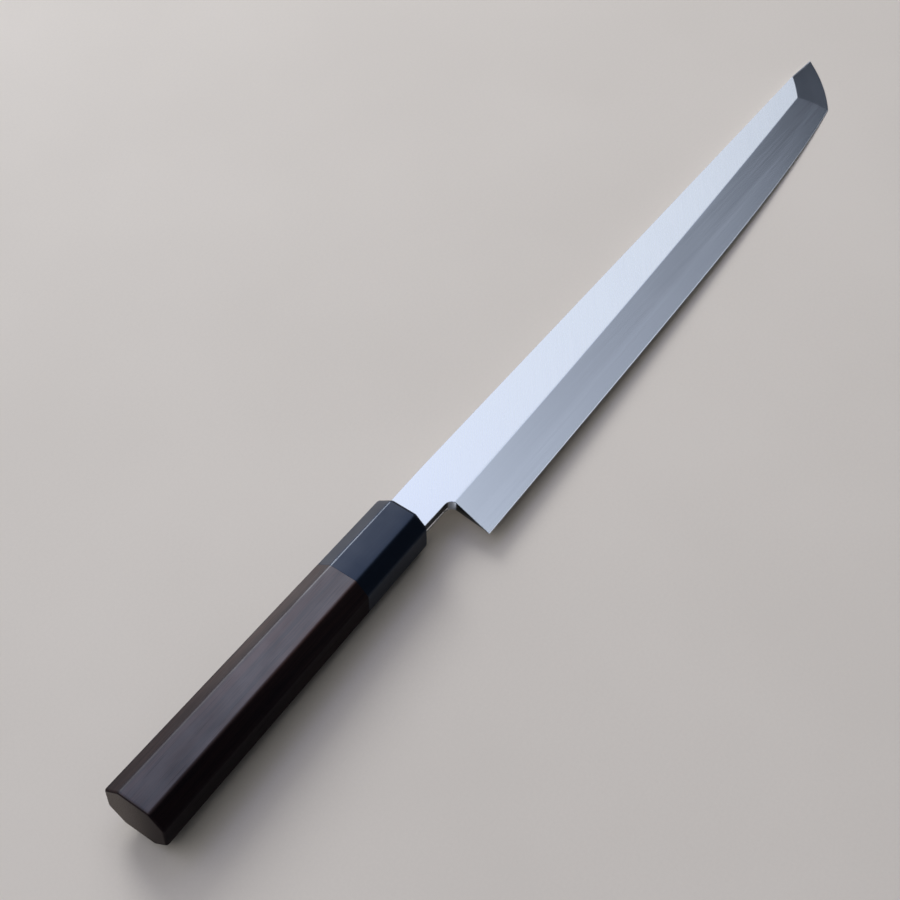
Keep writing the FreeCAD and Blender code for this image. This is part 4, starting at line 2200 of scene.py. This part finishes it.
        down = x / size["length"] * -1.0
        growth = 1.0 + down * (size["butt_bevel_share"] - 1.0)
        leg_y = size["mouth_bevel_height"] * growth
        leg_z = size["mouth_bevel_thickness"] * growth
        slant = graph.math("SQRT", leg_y * leg_y + leg_z * leg_z)
        narrowing = inset * (leg_y + leg_z - slant)
        moved = []
        for drawn, mouth, butt, bevel, leg, other in (
            (drawn_y, "mouth_height", "butt_height", "mouth_bevel_height", leg_y, leg_z),
            (drawn_z, "mouth_thickness", "butt_thickness", "mouth_bevel_thickness", leg_z, leg_y),
        ):
            reach = (size[mouth] + down * (size[butt] - size[mouth])) * HALF - inset
            cut = reach - leg + narrowing / other
            drawn_cut = size[mouth] * HALF - size[bevel]
            distance = abs(drawn)
            inner = graph.least(distance, drawn_cut) * cut / drawn_cut
            outer = graph.most(distance - drawn_cut, 0.0) * (reach - cut) / size[bevel]
            moved.append((inner + outer) * graph.math("SIGN", drawn))
        beyond = graph.most(abs(drawn_y) - size["mouth_height"] * HALF + size["mouth_bevel_height"], 0.0)
        y = moved[0] + size["facet_shift"] * (1.0 - beyond / size["mouth_bevel_height"])
        shaped = {"Geometry": tube, "Position": graph.vector(x, y, moved[1])}
        return graph.field("GeometryNodeSetPosition", "Geometry", shaped)

    def piece(self, name: str, ends: Span, rounds: Span, finish: bpy.types.Material) -> bpy.types.Object:
        """One stretch of the bar as a plain mesh.

        Args:
            name: The object's name.
            ends: X of its front and its rear face.
            rounds: The rounding of its front and its rear edge.
            finish: Its material.

        Returns:
            The object, still in the handle's axes.
        """
        holder = linked(name + "_tree", bpy.data.meshes.new(name + "_tree"))
        modifier = holder.modifiers.new("octagon_bar", "NODES")
        modifier.node_group = self.tree
        chosen = ("front", "rear", "front_round", "rear_round", "finish")
        for input_name, value in zip(chosen, (*ends, *rounds, finish)):
            modifier[self.given[input_name]] = value
        mesh = Plain.mesh(holder)
        bpy.data.objects.remove(holder)
        mesh.name = name
        made = linked(name, mesh)
        Plain.shade(made)
        return made


class Plain:
    """Turns evaluated objects into plain meshes."""

    sharp_degrees = 40.0

    @staticmethod
    def mesh(holder: bpy.types.Object) -> bpy.types.Mesh:
        """The evaluated mesh of an object.

        Args:
            holder: The object, modifiers included.

        Returns:
            The mesh.
        """
        bpy.context.view_layer.update()
        evaluated = holder.evaluated_get(bpy.context.evaluated_depsgraph_get())
        return bpy.data.meshes.new_from_object(evaluated)

    @classmethod
    def shade(cls, made: bpy.types.Object) -> None:
        """Shades a mesh smooth across its rounded edges, with its flats kept flat.

        Args:
            made: The object, whose mesh is replaced.
        """
        made.data.shade_smooth()
        made.data.set_sharp_from_angle(angle=math.radians(cls.sharp_degrees))
        modifier = made.modifiers.new("flat_faces", "WEIGHTED_NORMAL")
        modifier.mode = "FACE_AREA"
        modifier.keep_sharp = True
        mesh = cls.mesh(made)
        made.modifiers.clear()
        made.data = mesh


@dataclass(frozen=True)
class StudioFloor:
    """The table that the knife lies on."""

    half_size: float = 30.0

    def build(self, shop: Workshop) -> None:
        """Lays the floor.

        Args:
            shop: The shared effects.
        """
        mesh = bpy.data.meshes.new("studio_floor")
        s = self.half_size
        mesh.from_pydata([(-s, -s, 0.0), (s, -s, 0.0), (s, s, 0.0), (-s, s, 0.0)], [], [(0, 1, 2, 3)])
        mesh.materials.append(PaleTable().material(shop))
        floor = linked("studio_floor", mesh)


@dataclass(frozen=True)
class StudioLight:
    """A broad soft wall of daylight on the far left, and one soft lamp within it."""

    bright: Colour = (1.28, 1.34, 1.48)
    blue: Colour = (0.98, 1.11, 2.05)
    dim: Colour = (0.016, 0.017, 0.020)
    room: Colour = (0.104, 0.113, 0.133)
    backdrop: Colour = (0.74, 0.73, 0.72)
    wall_towards: Span = (146.4, 9.0)
    wall_fade: Span = (-0.476, -0.346)
    front_towards: Span = (42.0, 34.0)
    front_fade: Span = (-0.45, 0.20)
    side_fade: Span = (-0.36, -0.20)
    sill_fade: Span = (0.26, 0.52)
    sill_share: float = 0.30
    ceiling_fade: Span = (0.885, 0.955)
    ceiling_share: float = 0.08
    dusk_fade: Span = (0.26, 0.52)
    blue_fade: Span = (0.82, 0.87)
    blue_side: Span = (0.05, 0.30)
    lamp_towards: Span = (65.0, 34.0)
    lamp_distance: float = 1.6
    lamp_size: float = 0.7
    lamp_power: float = 11.5
    lamp_colour: Colour = (0.86, 0.91, 1.0)

    @staticmethod
    def direction(azimuth: float, elevation: float) -> Vector:
        """A direction from the table.

        Args:
            azimuth: Degrees round from X.
            elevation: Degrees up.

        Returns:
            The direction.
        """
        turn = math.radians(azimuth)
        lift = math.radians(elevation)
        return Vector((math.cos(lift) * math.cos(turn), math.cos(lift) * math.sin(turn), math.sin(lift)))

    def sky(self, graph: Graph) -> Field:
        """What each direction shows: the window wall, or the room beside and behind it.

        Args:
            graph: The world's tree.

        Returns:
            The colour.
        """
        towards = graph.field("ShaderNodeTexCoord", "Generated")
        _, across, height = graph.parts(towards)
        lit = graph.facing(towards, self.direction(*self.wall_towards)).ramp(*self.wall_fade)
        lit = lit * graph.facing(towards, self.direction(*self.front_towards)).ramp(*self.front_fade)
        lit = lit * height.ramp(*self.ceiling_fade, 1.0, self.ceiling_share)
        lit = lit * height.ramp(*self.sill_fade, self.sill_share, 1.0) * across.ramp(*self.side_fade)
        high_up = height.ramp(*self.blue_fade) * across.ramp(*self.blue_side)
        window = graph.blend(high_up, self.bright, self.blue)
        far_side = graph.blend(height.ramp(*self.dusk_fade), self.dim, self.room)
        seen = graph.field("ShaderNodeLightPath", "Is Camera Ray")
        return graph.blend(seen, graph.blend(lit, far_side, window), self.backdrop)

    def build(self) -> None:
        """Sets the world and the lamp."""
        world = bpy.data.worlds.new("daylight_wall")
        world.use_nodes = True
        world.node_tree.nodes.clear()
        graph = Graph(world.node_tree)
        background = graph.node("ShaderNodeBackground", {"Color": self.sky(graph), "Strength": 1.0})
        graph.node("ShaderNodeOutputWorld", {"Surface": background.outputs["Background"]})
        bpy.context.scene.world = world
        lamp = bpy.data.lights.new("soft_lamp", "AREA")
        lamp.shape = "DISK"
        lamp.size = self.lamp_size
        lamp.energy = self.lamp_power
        lamp.color = self.lamp_colour
        holder = linked("soft_lamp", lamp)
        towards = self.direction(*self.lamp_towards)
        holder.location = towards * self.lamp_distance
        holder.rotation_euler = towards.to_track_quat("Z", "Y").to_euler()


@dataclass(frozen=True)
class PhotoCamera:
    """The camera at the photograph's place."""

    place: Triple = (-0.37491, -0.24772, 0.57059)
    right: Triple = (0.58570, -0.80999, -0.02944)
    down: Triple = (-0.65870, -0.45451, -0.59961)
    focal: float = 76.89
    sensor: float = 36.0
    nearest: float = 0.01

    def build(self) -> None:
        """Places the camera and makes it the scene's."""
        data = bpy.data.cameras.new("photo_camera")
        data.sensor_width = self.sensor
        data.lens = self.focal
        data.clip_start = self.nearest
        camera = linked("photo_camera", data)
        right = Vector(self.right).normalized()
        back = right.cross(-Vector(self.down)).normalized()
        turn = Matrix((right, back.cross(right), back)).transposed().to_4x4()
        camera.matrix_world = Matrix.Translation(self.place) @ turn
        bpy.context.scene.camera = camera


def register(piece: bpy.types.Object, node: CadNode) -> None:
    """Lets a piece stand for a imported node.

    Args:
        piece: The finished piece.
        node: The node that it replaces.
    """
    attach(piece, BODY)
    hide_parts(node.value)
    triangles = sum(len(face.vertices) - 2 for face in piece.data.polygons)
    log.info("%s stands for %s, %d triangles", piece.name, node.value, triangles)


def dress_node(node: bpy.types.Object, material: bpy.types.Material) -> None:
    """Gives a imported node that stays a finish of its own.

    Args:
        node: The node's object.
        material: The finish.
    """
    if not node.material_slots:
        node.data.materials.append(material)
    for slot in node.material_slots:
        slot.material = material
    log.info("%s keeps its shape, in %s", node.name, material.name)


def corners(bounds: tuple[Vector, Vector]) -> list[list[float]]:
    """A box as plain lists."""
    return [[float(value) for value in corner] for corner in bounds]


def main() -> None:
    """Builds every piece, dresses it and lights the scene."""
    logging.basicConfig(level=logging.INFO, format="%(name)s: %(message)s")
    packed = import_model()
    bpy.context.scene.view_settings.view_transform = "Standard"

    handle = Handle()
    shop = Workshop.fitted(KnifeFrame.from_record(packed["record"], handle.length))
    iron, steel = Blade().build(shop)
    register(iron, CadNode.BLADE_BODY)
    register(steel, CadNode.EDGE_STEEL)
    ferrule, body = handle.build(shop)
    register(ferrule, CadNode.FERRULE)
    register(body, CadNode.HANDLE)
    dress_node(packed["nodes"][CadNode.CORE.value], LightWood().material(shop))
    dress_node(packed["nodes"][CadNode.SEAL.value], DarkResin().material(shop))

    StudioFloor().build(shop)
    StudioLight().build()
    PhotoCamera().build()


if __name__ == "__main__":
    main()
